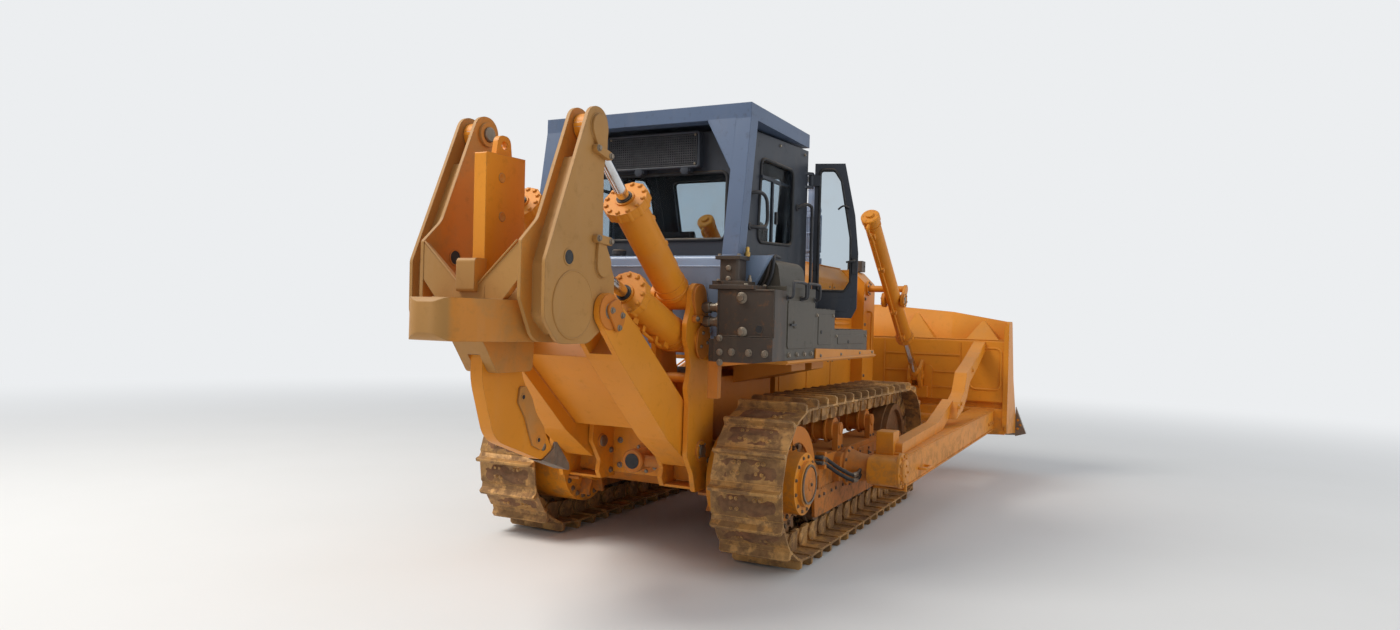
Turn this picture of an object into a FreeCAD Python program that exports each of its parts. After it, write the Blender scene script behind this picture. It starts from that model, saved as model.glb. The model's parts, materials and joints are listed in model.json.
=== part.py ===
import FreeCAD, Part
import math
import os
from FreeCAD import Vector

# A crawler bulldozer with a semi-U blade and a parallelogram rear ripper.
# Millimetres. X runs forward, Y to the machine's left, Z up from the ground at the grouser tips.
# Lengths along X are first given from the sprocket axle; save() moves them to the part's middle.

# Overall reach along X, from the sprocket axle
front_reach = 5990.0
rear_reach = -2660.0
middle_x = (front_reach + rear_reach) / 2

# Tracks
gauge = 2140.0
shoe_width = 560.0
shoe_pitch = 228.6
shoe_phase = 0.39
wheelbase = 3150.0
sprocket_pitch_radius = 495.0
idler_pitch_radius = 480.0
grouser_height = 65.0
shoe_thickness = 15.0
link_above_pin = 62.0
link_below_pin = 82.0
link_thickness = 45.0
link_inside = 140.0
pin_height = link_above_pin + shoe_thickness + grouser_height
track_y = gauge / 2
sprocket_z = pin_height + sprocket_pitch_radius
idler_z = pin_height + idler_pitch_radius
rail_clearance = 0.3

# Sprockets and final drives
sprocket_teeth = 27
sprocket_thickness = 84.0
sprocket_tip_radius = 515.0
sprocket_root_radius = 455.0
final_drive_radius = 350.0
final_drive_inner = 650.0
final_neck_radius = 170.0
hub_cover_radius = 235.0
hub_cover_reach = 1345.0

# Rollers and track frames
roller_radius = 120.0
roller_flange_height = 22.0
roller_count = 7
first_roller_x = 640.0
last_roller_x = 2520.0
carrier_roller_radius = 100.0
carrier_roller_x = (1080.0, 2060.0)
frame_half_width = 160.0
frame_rear_x = 560.0
frame_front_x = 2720.0
frame_bottom = 500.0
frame_top = 760.0
guard_thickness = 25.0
half_moon_outer = 430.0
half_moon_inner = 305.0

# Main case and frame rails
case_half_width = 540.0
case_rear_x = -180.0
case_front_x = 1150.0
case_bottom = 500.0
case_top = 1400.0
rail_half_width = 500.0
rail_inner = 380.0
rail_front_x = 4080.0
rail_bottom = 640.0
rail_top = 980.0
belly_thickness = 30.0

# Hood, radiator guard and engine
hood_half_width = 480.0
hood_rear_x = 1420.0
hood_front_x = 3780.0
hood_bottom = rail_top
hood_top = 2500.0
hood_shoulder = 160.0
hood_wall = 12.0
guard_half_width = 620.0
guard_front_x = 4230.0
guard_bottom = 820.0
guard_top = 2480.0
guard_shoulder = 150.0
guard_wall = 60.0
grille_bars = 11
engine_rear_x = 1900.0
engine_front_x = 3500.0
engine_half_width = 340.0
engine_top = 1950.0

# Platform, boxes and steps
platform_bottom = 1545.0
platform_thickness = 30.0
platform_top = platform_bottom + platform_thickness
platform_rear_x = -330.0
platform_front_x = 2000.0
platform_half_width = 1260.0
fender_inner = 640.0
box_inner = 850.0
box_outer = 1250.0
side_box_rear_x = -330.0
side_box_front_x = 300.0
side_box_top = 2120.0
bracket_rear_x = -550.0
bracket_inner = 800.0
bracket_bottom = 1700.0
bracket_top = 2085.0
bracket_flange = 30.0
bolt_plate_bottom = 1515.0
bolt_plate_thickness = 25.0
step_middle_x = 800.0
step_front_x = 1763.0
step_rear_top = 1968.0
step_front_top = 1800.0
tank_top = 2345.0
tank_rear_x = -360.0
tank_half_width = 790.0
tank_wing_side = 1110.0
tank_wing_depth = 50.0

# Cab
cab_floor = platform_top
cab_rear_x = -100.0
cab_side = 820.0
cab_knee_x = 920.0
cab_knee_side = 930.0
cab_front_x = 1345.0
cab_front_side = 545.0
cab_top_front_x = 1216.0
cab_top_front_side = 662.0
cab_waist = 2300.0
cab_wall = 45.0
floor_top = cab_floor + 30.0
ceiling_thickness = 40.0
glass_thickness = 8.0
glass_clearance = 1.0

# Seat and console
seat_front_x = 760.0
seat_depth = 500.0
seat_height = 1900.0
seat_half_width = 250.0
cushion_thickness = 140.0
backrest_height = 600.0
console_front_x = 1260.0
console_depth = 180.0
console_top = 2330.0
console_half_width = 380.0

# Roll-over frame
rops_side = 930.0
rops_tube = 130.0
rops_top = 3490.0
rops_post_foot = 2330.0
rops_foot_plate = 28.0
rops_foot_half = 100.0
rops_stub_half = 78.0
rops_base_x = -500.0
roof_rear_x = -330.0
roof_front_x = 940.0
roof_depth = 115.0
roof_gap = 30.0
rops_gusset_reach = 230.0
rops_gusset_drop = 400.0
rops_gusset_thickness = 16.0
cab_top = rops_top - roof_depth - roof_gap

# Doors
door_gap = 6.0
door_bottom = 1905.0
door_top = cab_top - 100.0
door_open_angle = 117.0
hinge_stand_off = 32.0
hinge_pin_radius = 10.0
knuckle_radius = 20.0
knuckle_height = 90.0
leaf_stand_off = 4.0
hinge_lug_height = 25.0
hinge_levels = (door_bottom + 55.0, door_top - 200.0)

# Blade and push arms
trunnion_x = 1150.0
trunnion_z = 620.0
trunnion_radius = 95.0
pivot_clearance = 1.0
arm_inner = 1500.0
arm_width = 250.0
arm_outer = arm_inner + arm_width
arm_spread = 170.0
arm_rear_x = 1310.0
arm_rear_levels = (443.0, 731.0)
arm_front_levels = (590.0, 850.0)
blade_half_width = 2080.0
blade_bottom = 450.0
blade_edge_x = 5620.0
blade_plate = 30.0
blade_back_x = 5075.0
end_plate = 30.0
end_flange = 58.0
wing_start = 1350.0
ledge_z = 1700.0
box_bottom = 930.0
lower_beam_levels = (540.0, 860.0)

# Mouldboard drawings: distance from the middle, hollow x, top x, top z
mouldboard_sections = ((370.0, 5260.0, 5400.0, 2120.0), (wing_start, 5260.0, 5390.0, 2045.0),
                       (blade_half_width - end_plate, 5440.0, 5375.0, 1930.0))
# Gussets on the ledge: near side, far side, distance and height of the top
ledge_gussets = ((760.0, 1170.0, 880.0, 2060.0), (1560.0, 1960.0, 1730.0, 1960.0))
blade_rib_levels = (1080.0, 1275.0, 1490.0)
lift_yoke = Vector(3820.0, 965.0, 2143.0)
lift_eye = Vector(4990.0, 965.0, 1225.0)
lift_above_yoke = 1366.0
lift_below_yoke = 734.0
lift_rod_inside = 1366.0 - 640.0
yoke_reach = 165.0
seat_gap = 0.3
yoke_ring = 30.0
lift_barrel_radius = 85.0
lift_rod_radius = 40.0
lift_eye_radius = 65.0
lift_eye_half = 44.0
lift_ear = 40.0
side_clearance = 6.0

# Ripper
tower_pivot = Vector(-390.0, 0.0, 870.0)
arm_vector = Vector(-1250.0, 0.0, 1025.0)
link_vector = Vector(-120.0, 0.0, 1150.0)
lift_base = Vector(-440.0, 0.0, 1700.0)
lift_pin_above = Vector(-30.0, 0.0, 290.0)
carrier_pivot = tower_pivot + arm_vector
tilt_base = tower_pivot + link_vector
tilt_pin = carrier_pivot + link_vector
lift_pin = carrier_pivot + lift_pin_above
ripper_y = 440.0
tower_outer = 615.0
tower_inner = 265.0
tower_plate = 40.0
tower_floor = 565.0
cross_tube_x = -450.0
cross_tube_z = 1415.0
cross_tube_radius = 38.0
ear_outer = 520.0
ear_inner = 360.0
ear_plate = 25.0
ripper_arm_outer = 565.0
ripper_arm_inner = 315.0
ripper_barrel_radius = 118.0
ripper_rod_radius = 42.0
ripper_pin_radius = 50.0
tube_back = 330.0
tube_rise = 30.0
tube_radius = 190.0
tube_cap = 5.0
gusset_x = -2300.0
gusset_thickness = 45.0
holder_half = 120.0
shank_thickness = 92.0
shank_front_x = -1860.0
shank_rear_x = -2230.0
shank_top = 2840.0
tip_half_width = 60.0

# Arm outline: share of the length from the tower, distance above the middle line
arm_section = ((0.0, -130.0), (0.25, -175.0), (0.8, -150.0), (1.0, -115.0),
               (1.0, 115.0), (0.8, 150.0), (0.25, 175.0), (0.0, 130.0))


def vertex(axis, u, v, level):
    """A point of a drawing that is normal to the axis, at a level along the axis."""
    if axis == "x":
        return Vector(level, u, v)
    if axis == "y":
        return Vector(u, level, v)
    return Vector(u, v, level)


def face(points, axis, level):
    """A face whose corners are (u, v) or (u, v, radius)."""
    corners = [vertex(axis, point[0], point[1], level) for point in points]
    count = len(points)
    edges = []
    ends = []
    for index in range(count):
        here = corners[index]
        radius = points[index][2] if len(points[index]) > 2 else 0.0
        if radius <= 0:
            ends.append((here, here, None))
            continue
        back = (corners[index - 1] - here).normalize()
        ahead = (corners[(index + 1) % count] - here).normalize()
        half = back.getAngle(ahead) / 2
        reach = radius / math.tan(half)
        centre = here + (back + ahead).normalize() * (radius / math.sin(half))
        middle = centre + (here - centre).normalize() * radius
        ends.append((here + back * reach, here + ahead * reach, middle))
    for index in range(count):
        start, finish, middle = ends[index]
        if middle is not None:
            edges.append(Part.Arc(start, middle, finish).toShape())
        following = ends[(index + 1) % count][0]
        if (following - finish).Length > 1e-4:
            edges.append(Part.LineSegment(finish, following).toShape())
    return Part.Face(Part.Wire(edges))


def prism(points, axis, low, high):
    """A drawing normal to the axis, extruded from low to high along it."""
    direction = vertex(axis, 0, 0, high - low)
    return face(points, axis, low).extrude(direction)


def box(x0, x1, y0, y1, z0, z1):
    return Part.makeBox(x1 - x0, y1 - y0, z1 - z0, Vector(x0, y0, z0))


def disc(axis, u, v, radius, low, high):
    """A cylinder along the axis."""
    direction = vertex(axis, 0, 0, 1)
    return Part.makeCylinder(radius, high - low, vertex(axis, u, v, low), direction)


def ring(axis, u, v, outer, inner, low, high):
    return disc(axis, u, v, outer, low, high).cut(disc(axis, u, v, inner, low, high))


def bar(start, finish, radius):
    return Part.makeCylinder(radius, (finish - start).Length, start, finish - start)


def joined(shapes):
    whole = shapes[0].multiFuse(shapes[1:]) if len(shapes) > 1 else shapes[0]
    return whole.removeSplitter()


def group(shapes):
    return Part.makeCompound(shapes)


def mirrored(shape):
    return shape.mirror(Vector(0, 0, 0), Vector(0, 1, 0))


def both(shape):
    """The left-hand shape and its right-hand mirror image."""
    return group([shape, mirrored(shape)])


def at_y(point, y):
    return Vector(point.x, y, point.z)


def save(name, shape):
    moved = shape.copy()
    moved.translate(Vector(-middle_x, 0, 0))
    moved.exportStep("parts/" + name + ".step")


# Track chain

def chain_pins():
    """Pin centres, evenly spaced along a belt round the sprocket and the idler."""
    rear = Vector(0, 0, sprocket_z)
    front = Vector(wheelbase, 0, idler_z)
    slope = 2 * math.asin((sprocket_pitch_radius - idler_pitch_radius) / (front - rear).Length)
    top_normal = math.pi / 2 - slope
    top_run = (front - rear).Length * math.cos(slope / 2)
    runs = [
        ("line", wheelbase),
        ("front", idler_pitch_radius * (math.pi - slope)),
        ("top", top_run),
        ("rear", sprocket_pitch_radius * (math.pi + slope)),
    ]
    total = sum(length for kind, length in runs)
    shoe_count = round(total / shoe_pitch)
    pins = []
    for index in range(shoe_count):
        along = total * (index + shoe_phase) / shoe_count
        for kind, length in runs:
            if along <= length:
                break
            along -= length
        if kind == "line":
            pins.append(Vector(along, 0, pin_height))
        elif kind == "front":
            angle = -math.pi / 2 + along / idler_pitch_radius
            pins.append(front + Vector(math.cos(angle), 0, math.sin(angle)) * idler_pitch_radius)
        elif kind == "top":
            normal = Vector(math.cos(top_normal), 0, math.sin(top_normal))
            start = front + normal * idler_pitch_radius
            finish = rear + normal * sprocket_pitch_radius
            pins.append(start + (finish - start) * (along / length))
        else:
            angle = top_normal + along / sprocket_pitch_radius
            pins.append(rear + Vector(math.cos(angle), 0, math.sin(angle)) * sprocket_pitch_radius)
    return pins


def chord_radius(pitch_radius):
    """Distance from a wheel's centre to the middle of a link that lies on it."""
    pins = chain_pins()
    pitch = (pins[1] - pins[0]).Length
    return pitch_radius * math.cos(pitch / (2 * pitch_radius))


def outward(start, finish):
    """Unit normal of a link that points out of the loop."""
    along = (finish - start).normalize()
    return Vector(along.z, 0, -along.x)


def track(centre_y):
    pins = chain_pins()
    count = len(pins)
    normals = [outward(pins[i], pins[(i + 1) % count]) for i in range(count)]
    outer = []
    inner = []
    for index in range(count):
        before = normals[index - 1]
        after = normals[index]
        first = pins[index] + before * link_above_pin
        second = pins[index] + after * link_above_pin
        outer.append((first.x, first.z))
        if (second - first).Length > 0.5:
            outer.append((second.x, second.z))
        mitre = before + after
        mitre = mitre * (2 / mitre.Length ** 2)
        low = pins[index] - mitre * link_below_pin
        inner.append((low.x, low.z))
    half = link_inside / 2
    pieces = []
    for low, high in ((-half - link_thickness, -half), (half, half + link_thickness)):
        band = prism(outer, "y", centre_y + low, centre_y + high)
        pieces.append(band.cut(prism(inner, "y", centre_y + low, centre_y + high)))
    plate_low = link_above_pin
    plate_high = link_above_pin + shoe_thickness
    tip = plate_high + grouser_height
    for index in range(count):
        start = pins[index]
        finish = pins[(index + 1) % count]
        along = (finish - start).normalize()
        normal = normals[index]
        length = (finish - start).Length
        section = []
        for u, v in ((4, plate_low), (length - 4, plate_low), (length - 4, plate_high),
                     (50, plate_high), (32, tip), (12, tip), (4, plate_high)):
            point = start + along * u + normal * v
            section.append((point.x, point.z))
        pieces.append(prism(section, "y", centre_y - shoe_width / 2, centre_y + shoe_width / 2))
    return pieces[0].multiFuse(pieces[1:])


def sprocket():
    points = []
    for tooth in range(sprocket_teeth):
        middle = 2 * math.pi * tooth / sprocket_teeth
        for part, radius in ((-0.36, sprocket_root_radius), (-0.14, sprocket_tip_radius),
                             (0.14, sprocket_tip_radius), (0.36, sprocket_root_radius)):
            angle = middle + part * 2 * math.pi / sprocket_teeth
            points.append((radius * math.cos(angle), sprocket_z + radius * math.sin(angle)))
    half = sprocket_thickness / 2
    return prism(points, "y", track_y - half, track_y + half)


def final_drive():
    half = sprocket_thickness / 2
    neck = disc("y", 0, sprocket_z, final_neck_radius, case_half_width, final_drive_inner)
    inner = joined([neck, disc("y", 0, sprocket_z, final_drive_radius, final_drive_inner, track_y - half)])
    flange = disc("y", 0, sprocket_z, hub_cover_radius + 60, track_y + half, track_y + half + 60)
    cover = disc("y", 0, sprocket_z, hub_cover_radius, track_y + half + 60, hub_cover_reach - 30)
    cap = disc("y", 0, sprocket_z, hub_cover_radius * 0.72, hub_cover_reach - 30, hub_cover_reach)
    return group([inner, joined([flange, cover, cap])])


# Running gear

def roller(x, z, radius, centre_y, reach):
    """A double-flanged roller on its shaft."""
    half = link_inside / 2
    rim = half + link_thickness + 3
    body = disc("y", x, z, radius, centre_y - rim, centre_y + rim)
    flange_in = disc("y", x, z, radius + roller_flange_height, centre_y - half + 5, centre_y - half + 25)
    flange_out = disc("y", x, z, radius + roller_flange_height, centre_y + half - 25, centre_y + half - 5)
    shaft = disc("y", x, z, radius * 0.4, centre_y - reach, centre_y + reach)
    return joined([body, flange_in, flange_out, shaft])


def track_rollers():
    z = pin_height + link_below_pin + roller_radius + rail_clearance
    step = (last_roller_x - first_roller_x) / (roller_count - 1)
    rollers = []
    for index in range(roller_count):
        rollers.append(roller(first_roller_x + step * index, z, roller_radius, track_y,
                              frame_half_width - guard_thickness - 5))
    return group(rollers)


def carrier_z(x):
    """Height of a carrier roller's shaft under the top run."""
    rear_top = sprocket_z + sprocket_pitch_radius
    front_top = idler_z + idler_pitch_radius
    run = rear_top + (front_top - rear_top) * x / wheelbase
    return run - link_below_pin - carrier_roller_radius - rail_clearance - 1.0


def carrier_rollers():
    rollers = []
    for x in carrier_roller_x:
        z = carrier_z(x)
        body = roller(x, z, carrier_roller_radius, track_y, link_inside / 2 + link_thickness + 3)
        post_y = track_y + link_inside / 2 + link_thickness + 3
        rollers.append(body)
        rollers.append(prism([(x - 70, frame_top), (x + 70, frame_top), (x + 60, z + 60, 40),
                              (x - 60, z + 60, 40)], "y", post_y, post_y + 50))
    return group(rollers)


def idler():
    half = link_inside / 2
    tread = chord_radius(idler_pitch_radius) - link_below_pin - rail_clearance
    rim = half + link_thickness + 2
    wheel = disc("y", wheelbase, idler_z, tread, track_y - rim, track_y + rim)
    flange = disc("y", wheelbase, idler_z, tread + 20, track_y - half + 8, track_y + half - 8)
    for side in (-1, 1):
        low, high = sorted((track_y + side * (rim - 40), track_y + side * rim))
        wheel = wheel.cut(ring("y", wheelbase, idler_z, tread - 60, 110, low, high))
    shaft = disc("y", wheelbase, idler_z, 60, track_y - rim - 5, track_y + rim + 5)
    return joined([wheel, flange, shaft])


def track_frame():
    left = track_y - frame_half_width
    right = track_y + frame_half_width
    beam = prism([(frame_rear_x, frame_bottom), (frame_front_x, frame_bottom),
                  (frame_front_x, frame_top, 60), (frame_rear_x + 180, frame_top, 60),
                  (frame_rear_x, frame_bottom + 120, 30)],
                 "y", left, right)
    roller_z = pin_height + link_below_pin + roller_radius + rail_clearance
    pieces = [beam]
    for low, high in ((left, left + guard_thickness), (right - guard_thickness, right)):
        skirt = prism([(first_roller_x - 180, frame_bottom), (first_roller_x - 150, roller_z - 70, 30),
                       (last_roller_x + 150, roller_z - 70, 30), (last_roller_x + 180, frame_bottom)],
                      "y", low, high)
        pieces.append(skirt)
    yoke_half = link_inside / 2 + link_thickness + 2 + 5
    for low, high in ((track_y - yoke_half - 40, track_y - yoke_half),
                      (track_y + yoke_half, track_y + yoke_half + 40)):
        pieces.append(prism([(frame_front_x, idler_z - 110), (wheelbase + 90, idler_z - 90, 60),
                             (wheelbase + 90, idler_z + 90, 60), (frame_front_x, idler_z + 110)],
                            "y", low, high))
    axle = disc("y", trunnion_x, trunnion_z, trunnion_radius, right, arm_outer - 20)
    base = prism([(trunnion_x - 260, frame_bottom + 10, 40), (trunnion_x + 260, frame_bottom + 10, 40),
                  (trunnion_x + 200, frame_top - 10, 60), (trunnion_x - 200, frame_top - 10, 60)],
                 "y", right, right + 60)
    pieces.append(axle)
    pieces.append(base)
    hub_ring = ring("y", 0, sprocket_z, half_moon_outer, half_moon_inner, right, right + 12)
    sector = prism([(0, sprocket_z), (800, sprocket_z - 250), (800, sprocket_z + 700),
                    (-200, sprocket_z + 700)], "y", right, right + 12)
    strap = prism([(300, sprocket_z - 60), (frame_rear_x + 60, frame_bottom + 140),
                   (frame_rear_x + 60, frame_top - 70), (300, sprocket_z + 130)],
                  "y", right, right + 12)
    pieces.append(hub_ring.common(sector).fuse(strap.cut(disc("y", 0, sprocket_z, half_moon_inner,
                                                              right, right + 12))))
    return pieces[0].multiFuse(pieces[1:])


def equalizer_bar():
    bar_x = 2400.0
    return box(bar_x - 90, bar_x + 90, -(track_y - frame_half_width), track_y - frame_half_width,
               frame_bottom + 40, rail_bottom)


# Hull

def main_frame():
    case = prism([(case_rear_x, case_bottom + 120, 40), (case_rear_x + 160, case_bottom, 40),
                  (case_front_x, case_bottom), (case_front_x, case_top), (case_rear_x, case_top, 40)],
                 "y", -case_half_width, case_half_width)
    pieces = [case]
    for side in (-1, 1):
        low, high = sorted((side * rail_inner, side * rail_half_width))
        pieces.append(box(case_front_x, rail_front_x, low, high, rail_bottom, rail_top))
    pieces.append(box(case_front_x, rail_front_x, -rail_inner, rail_inner, rail_bottom,
                      rail_bottom + belly_thickness))
    pieces.append(box(case_front_x, case_front_x + 200, -rail_inner, rail_inner, rail_bottom, rail_top))
    return joined(pieces)


def engine():
    return box(engine_rear_x, engine_front_x, -engine_half_width, engine_half_width,
               rail_bottom + belly_thickness, engine_top)


def hood_section(half, top, shoulder, bottom):
    return [(-half, bottom), (half, bottom), (half, top - shoulder, 40), (half - shoulder, top, 60),
            (-half + shoulder, top, 60), (-half, top - shoulder, 40)]


def hood():
    outer = prism(hood_section(hood_half_width, hood_top, hood_shoulder, hood_bottom), "x",
                  hood_rear_x, hood_front_x)
    inner = prism(hood_section(hood_half_width - hood_wall, hood_top - hood_wall, hood_shoulder,
                               hood_bottom - 1), "x", hood_rear_x + hood_wall, hood_front_x - hood_wall)
    return outer.cut(inner)


def radiator_guard():
    outer = prism(hood_section(guard_half_width, guard_top, guard_shoulder, guard_bottom), "x",
                  hood_front_x, guard_front_x)
    recess = box(guard_front_x - 40, guard_front_x, -guard_half_width + guard_wall * 1.6,
                 guard_half_width - guard_wall * 1.6, guard_bottom + 180, guard_top - 260)
    outer = outer.cut(recess)
    frame_slot = box(hood_front_x, rail_front_x, -rail_half_width, rail_half_width, guard_bottom, rail_top)
    outer = outer.cut(frame_slot)
    width = 2 * (guard_half_width - guard_wall * 1.6)
    bars = []
    for index in range(grille_bars):
        y = -width / 2 + width * (index + 0.5) / grille_bars
        bars.append(box(guard_front_x - 40, guard_front_x - 8, y - 14, y + 14, guard_bottom + 180,
                        guard_top - 260))
    return joined([outer] + bars)


def exhaust_stack():
    x = 2900.0
    y = -280.0
    base = hood_top
    muffler = disc("z", x, y, 105, base, base + 60)
    body = disc("z", x, y, 85, base + 60, base + 620)
    pipe = disc("z", x, y, 60, base + 620, base + 820)
    elbow_centre = Vector(x - 110, y, base + 820)
    profile = Part.Face(Part.Wire(Part.makeCircle(60, Vector(x, y, base + 820), Vector(0, 0, 1))))
    elbow = profile.revolve(elbow_centre, Vector(0, -1, 0), 70)
    return joined([muffler, body, pipe, elbow])


def air_cleaner():
    x = 2450.0
    y = 240.0
    stem = disc("z", x, y, 70, hood_top, hood_top + 180)
    bowl = disc("z", x, y, 150, hood_top + 180, hood_top + 360)
    cap = Part.makeCone(150, 90, 60, Vector(x, y, hood_top + 360))
    return joined([stem, bowl, cap])


# Platform, boxes, tank and steps

def platform():
    floor = box(case_rear_x, hood_rear_x, -platform_half_width, platform_half_width,
                platform_bottom, platform_top)
    pieces = [floor]
    for side in (-1, 1):
        low, high = sorted((side * fender_inner, side * platform_half_width))
        pieces.append(box(platform_rear_x, case_rear_x, low, high, platform_bottom, platform_top))
        low, high = sorted((side * (hood_half_width + 4), side * platform_half_width))
        pieces.append(box(hood_rear_x, platform_front_x, low, high, platform_bottom, platform_top))
        for x in (case_rear_x + 60, case_front_x - 160):
            low, high = sorted((side * 440, side * case_half_width))
            pieces.append(box(x, x + 100, low, high, case_top, platform_bottom))
    return joined(pieces)


def side_boxes():
    lower = box(side_box_rear_x, side_box_front_x, box_inner, box_outer, platform_top, side_box_top)
    cover = prism([(box_inner, side_box_top), (box_outer - 80, side_box_top),
                   (box_outer - 110, side_box_top + 200, 90), (box_inner, side_box_top + 215, 20)],
                  "x", side_box_rear_x + 80, side_box_front_x - 10)
    lower_cut = joined([lower, cover])
    keep_out = box(cab_rear_x - 4, side_box_front_x + 1, 0, cab_knee_side + 4, platform_top, 3000)
    return both(lower_cut.cut(keep_out))


def step_boxes():
    first = box(side_box_front_x, step_middle_x, cab_knee_side + side_clearance, box_outer,
                platform_top, step_rear_top)
    second = box(step_middle_x, step_front_x, cab_knee_side + side_clearance, box_outer,
                 platform_top, step_front_top)
    return both(joined([first, second]))


def rops_brackets():
    middle = rops_side - rops_tube / 2
    block = prism([(bracket_rear_x, bracket_bottom), (side_box_rear_x, bracket_bottom),
                   (side_box_rear_x, bracket_top), (bracket_rear_x, bracket_top)],
                  "y", bracket_inner, box_outer)
    bolt_plate = prism([(bracket_inner - 10, bolt_plate_bottom, 50), (box_outer, bolt_plate_bottom + 60),
                        (box_outer, bracket_bottom + 40), (bracket_inner - 10, bracket_bottom + 40)],
                       "x", bracket_rear_x - bolt_plate_thickness, bracket_rear_x)
    side_plate = box(bracket_rear_x, side_box_rear_x, box_outer - bolt_plate_thickness, box_outer,
                     bolt_plate_bottom + 60, bracket_bottom)
    lower = box(bracket_rear_x - 15, side_box_rear_x, middle - 130, middle + 230, bracket_top,
                bracket_top + bracket_flange)
    upper = box(bracket_rear_x + 5, side_box_rear_x - 10, middle - 115, middle + 140,
                bracket_top + bracket_flange, bracket_top + 2 * bracket_flange)
    strap = box(bracket_rear_x, bracket_rear_x + 60, bracket_inner - 60, bracket_inner + 20,
                1285, bracket_bottom + 20)
    return both(joined([block, bolt_plate, side_plate, lower, upper, strap]))


def fuel_tank():
    """A tank whose rear face leans back above the ripper towers."""
    outline = [(case_rear_x, platform_top), (cab_rear_x - 5, platform_top), (cab_rear_x - 5, tank_top, 20),
               (tank_rear_x, tank_top, 30), (tank_rear_x, tank_top - 90, 30), (case_rear_x - 10, 1740)]
    body = prism(outline, "y", -tank_half_width, tank_half_width)
    wing_low = side_box_top + 1
    wing = prism([(tank_half_width - 5, wing_low), (tank_wing_side - 125, wing_low),
                  (tank_wing_side, tank_top), (tank_half_width - 5, tank_top)],
                 "x", side_box_rear_x + 10, side_box_rear_x + 10 + tank_wing_depth)
    return joined([body, wing, mirrored(wing)])


# Cab

def cab_level(z, inset):
    """The cab's outline at a height, drawn in by an inset."""
    share = max(0.0, (z - cab_waist) / (cab_top - cab_waist))
    front_x = cab_front_x + (cab_top_front_x - cab_front_x) * share
    front_y = cab_front_side + (cab_top_front_side - cab_front_side) * share
    corners = [(cab_rear_x, cab_side), (cab_knee_x, cab_knee_side), (front_x, front_y)]
    corners = corners + [(x, -y) for x, y in reversed(corners)]
    wire = Part.makePolygon([Vector(x, y, z) for x, y in corners + corners[:1]])
    if inset == 0:
        return wire
    return wire.makeOffset2D(-inset)


def door_frame_point(u, z, depth):
    """A point in the left door's plane: u from the hinge forward, depth into the cab."""
    along = Vector(cab_front_x - cab_knee_x, cab_front_side - cab_knee_side, 0).normalize()
    inward = Vector(-along.y, along.x, 0) * -1
    point = Vector(cab_knee_x, cab_knee_side, 0) + along * u + inward * depth
    return Vector(point.x, point.y, z)


# Corners of the door and its window: distance from the hinge, height
door_outline = [(30.0, door_bottom), (375.0, door_bottom), (418.0, door_bottom + 85), (420.0, 2470.0),
                (385.0, 2800.0), (290.0, door_top), (30.0, door_top)]
door_window = [(75.0, 2137.0), (310.0, 2137.0), (358.0, 2217.0), (352.0, 2600.0), (262.0, door_top - 150),
               (200.0, door_top - 55), (75.0, door_top - 55)]


def door_prism(outline, grow, near, far):
    """The door's outline, grown, from one depth to another."""
    points = [door_frame_point(u, z, near) for u, z in outline]
    drawing = Part.Face(Part.makePolygon(points + points[:1]))
    if grow != 0:
        drawing = drawing.makeOffset2D(grow)
    direction = door_frame_point(0, 0, far) - door_frame_point(0, 0, near)
    return drawing.extrude(direction)


def hinge_point():
    """The left door's hinge axis, outside the corner of the cab."""
    corner = door_frame_point(0, 0, 0)
    outer = door_frame_point(0, 0, -hinge_stand_off)
    return corner + (outer - corner)


def door():
    """The left door, closed, with its hinge knuckles."""
    panel = door_prism(door_outline, 0, 0, cab_wall)
    panel = panel.cut(door_prism(door_window, 0, -10, cab_wall + 10))
    axis = hinge_point()
    pieces = [panel]
    for level in hinge_levels:
        start = door_outline[0][0]
        for near, depth in ((0, -hinge_stand_off - 8), (start, -leaf_stand_off)):
            leaf = [(start + 50, level), (near, level), (near, level + knuckle_height),
                    (start + 50, level + knuckle_height)]
            pieces.append(door_prism(leaf, 0, depth, min(0.0, depth + hinge_stand_off + 8 - leaf_stand_off)))
        pieces.append(disc("z", axis.x, axis.y, knuckle_radius, level, level + knuckle_height))
    panel = pieces[0].multiFuse(pieces[1:])
    return panel.cut(disc("z", axis.x, axis.y, hinge_pin_radius + pivot_clearance, door_bottom, door_top))


def hinge_lugs():
    """Pins and lugs on the cab that carry the left door's knuckles."""
    axis = hinge_point()
    pieces = []
    for level in hinge_levels:
        low = level - hinge_lug_height
        high = level + knuckle_height + hinge_lug_height
        pieces.append(disc("z", axis.x, axis.y, hinge_pin_radius, low, high))
        for start in (low, high - hinge_lug_height + 2):
            lug = Part.makePolygon([
                Vector(axis.x - 18, axis.y + 18, start), Vector(axis.x + 18, axis.y + 18, start),
                Vector(cab_knee_x + 10, cab_knee_side - 20, start),
                Vector(cab_knee_x - 60, cab_knee_side - 20, start),
                Vector(axis.x - 18, axis.y + 18, start)])
            pieces.append(Part.Face(lug).extrude(Vector(0, 0, hinge_lug_height - 2)))
    return pieces


def door_glass():
    middle = cab_wall / 2
    return door_prism(door_window, -glass_clearance, middle - glass_thickness / 2,
                      middle + glass_thickness / 2)


def opened(shape):
    """A left door swung to its open stop."""
    swung = shape.copy()
    swung.rotate(hinge_point(), Vector(0, 0, 1), door_open_angle)
    return swung


# Window corners: position across the wall, height, corner radius
side_window = [(60.0, 2480.0, 60), (640.0, 2500.0, 60), (640.0, cab_top - 215, 60), (90.0, cab_top - 195, 60)]
rear_window = [(-640.0, 2490.0, 50), (640.0, 2490.0, 50), (640.0, cab_top - 325, 50),
               (-640.0, cab_top - 325, 50)]
front_window = [(-470.0, 2330.0, 40), (470.0, 2330.0, 40), (560.0, cab_top - 165, 40),
                (-560.0, cab_top - 165, 40)]


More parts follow.
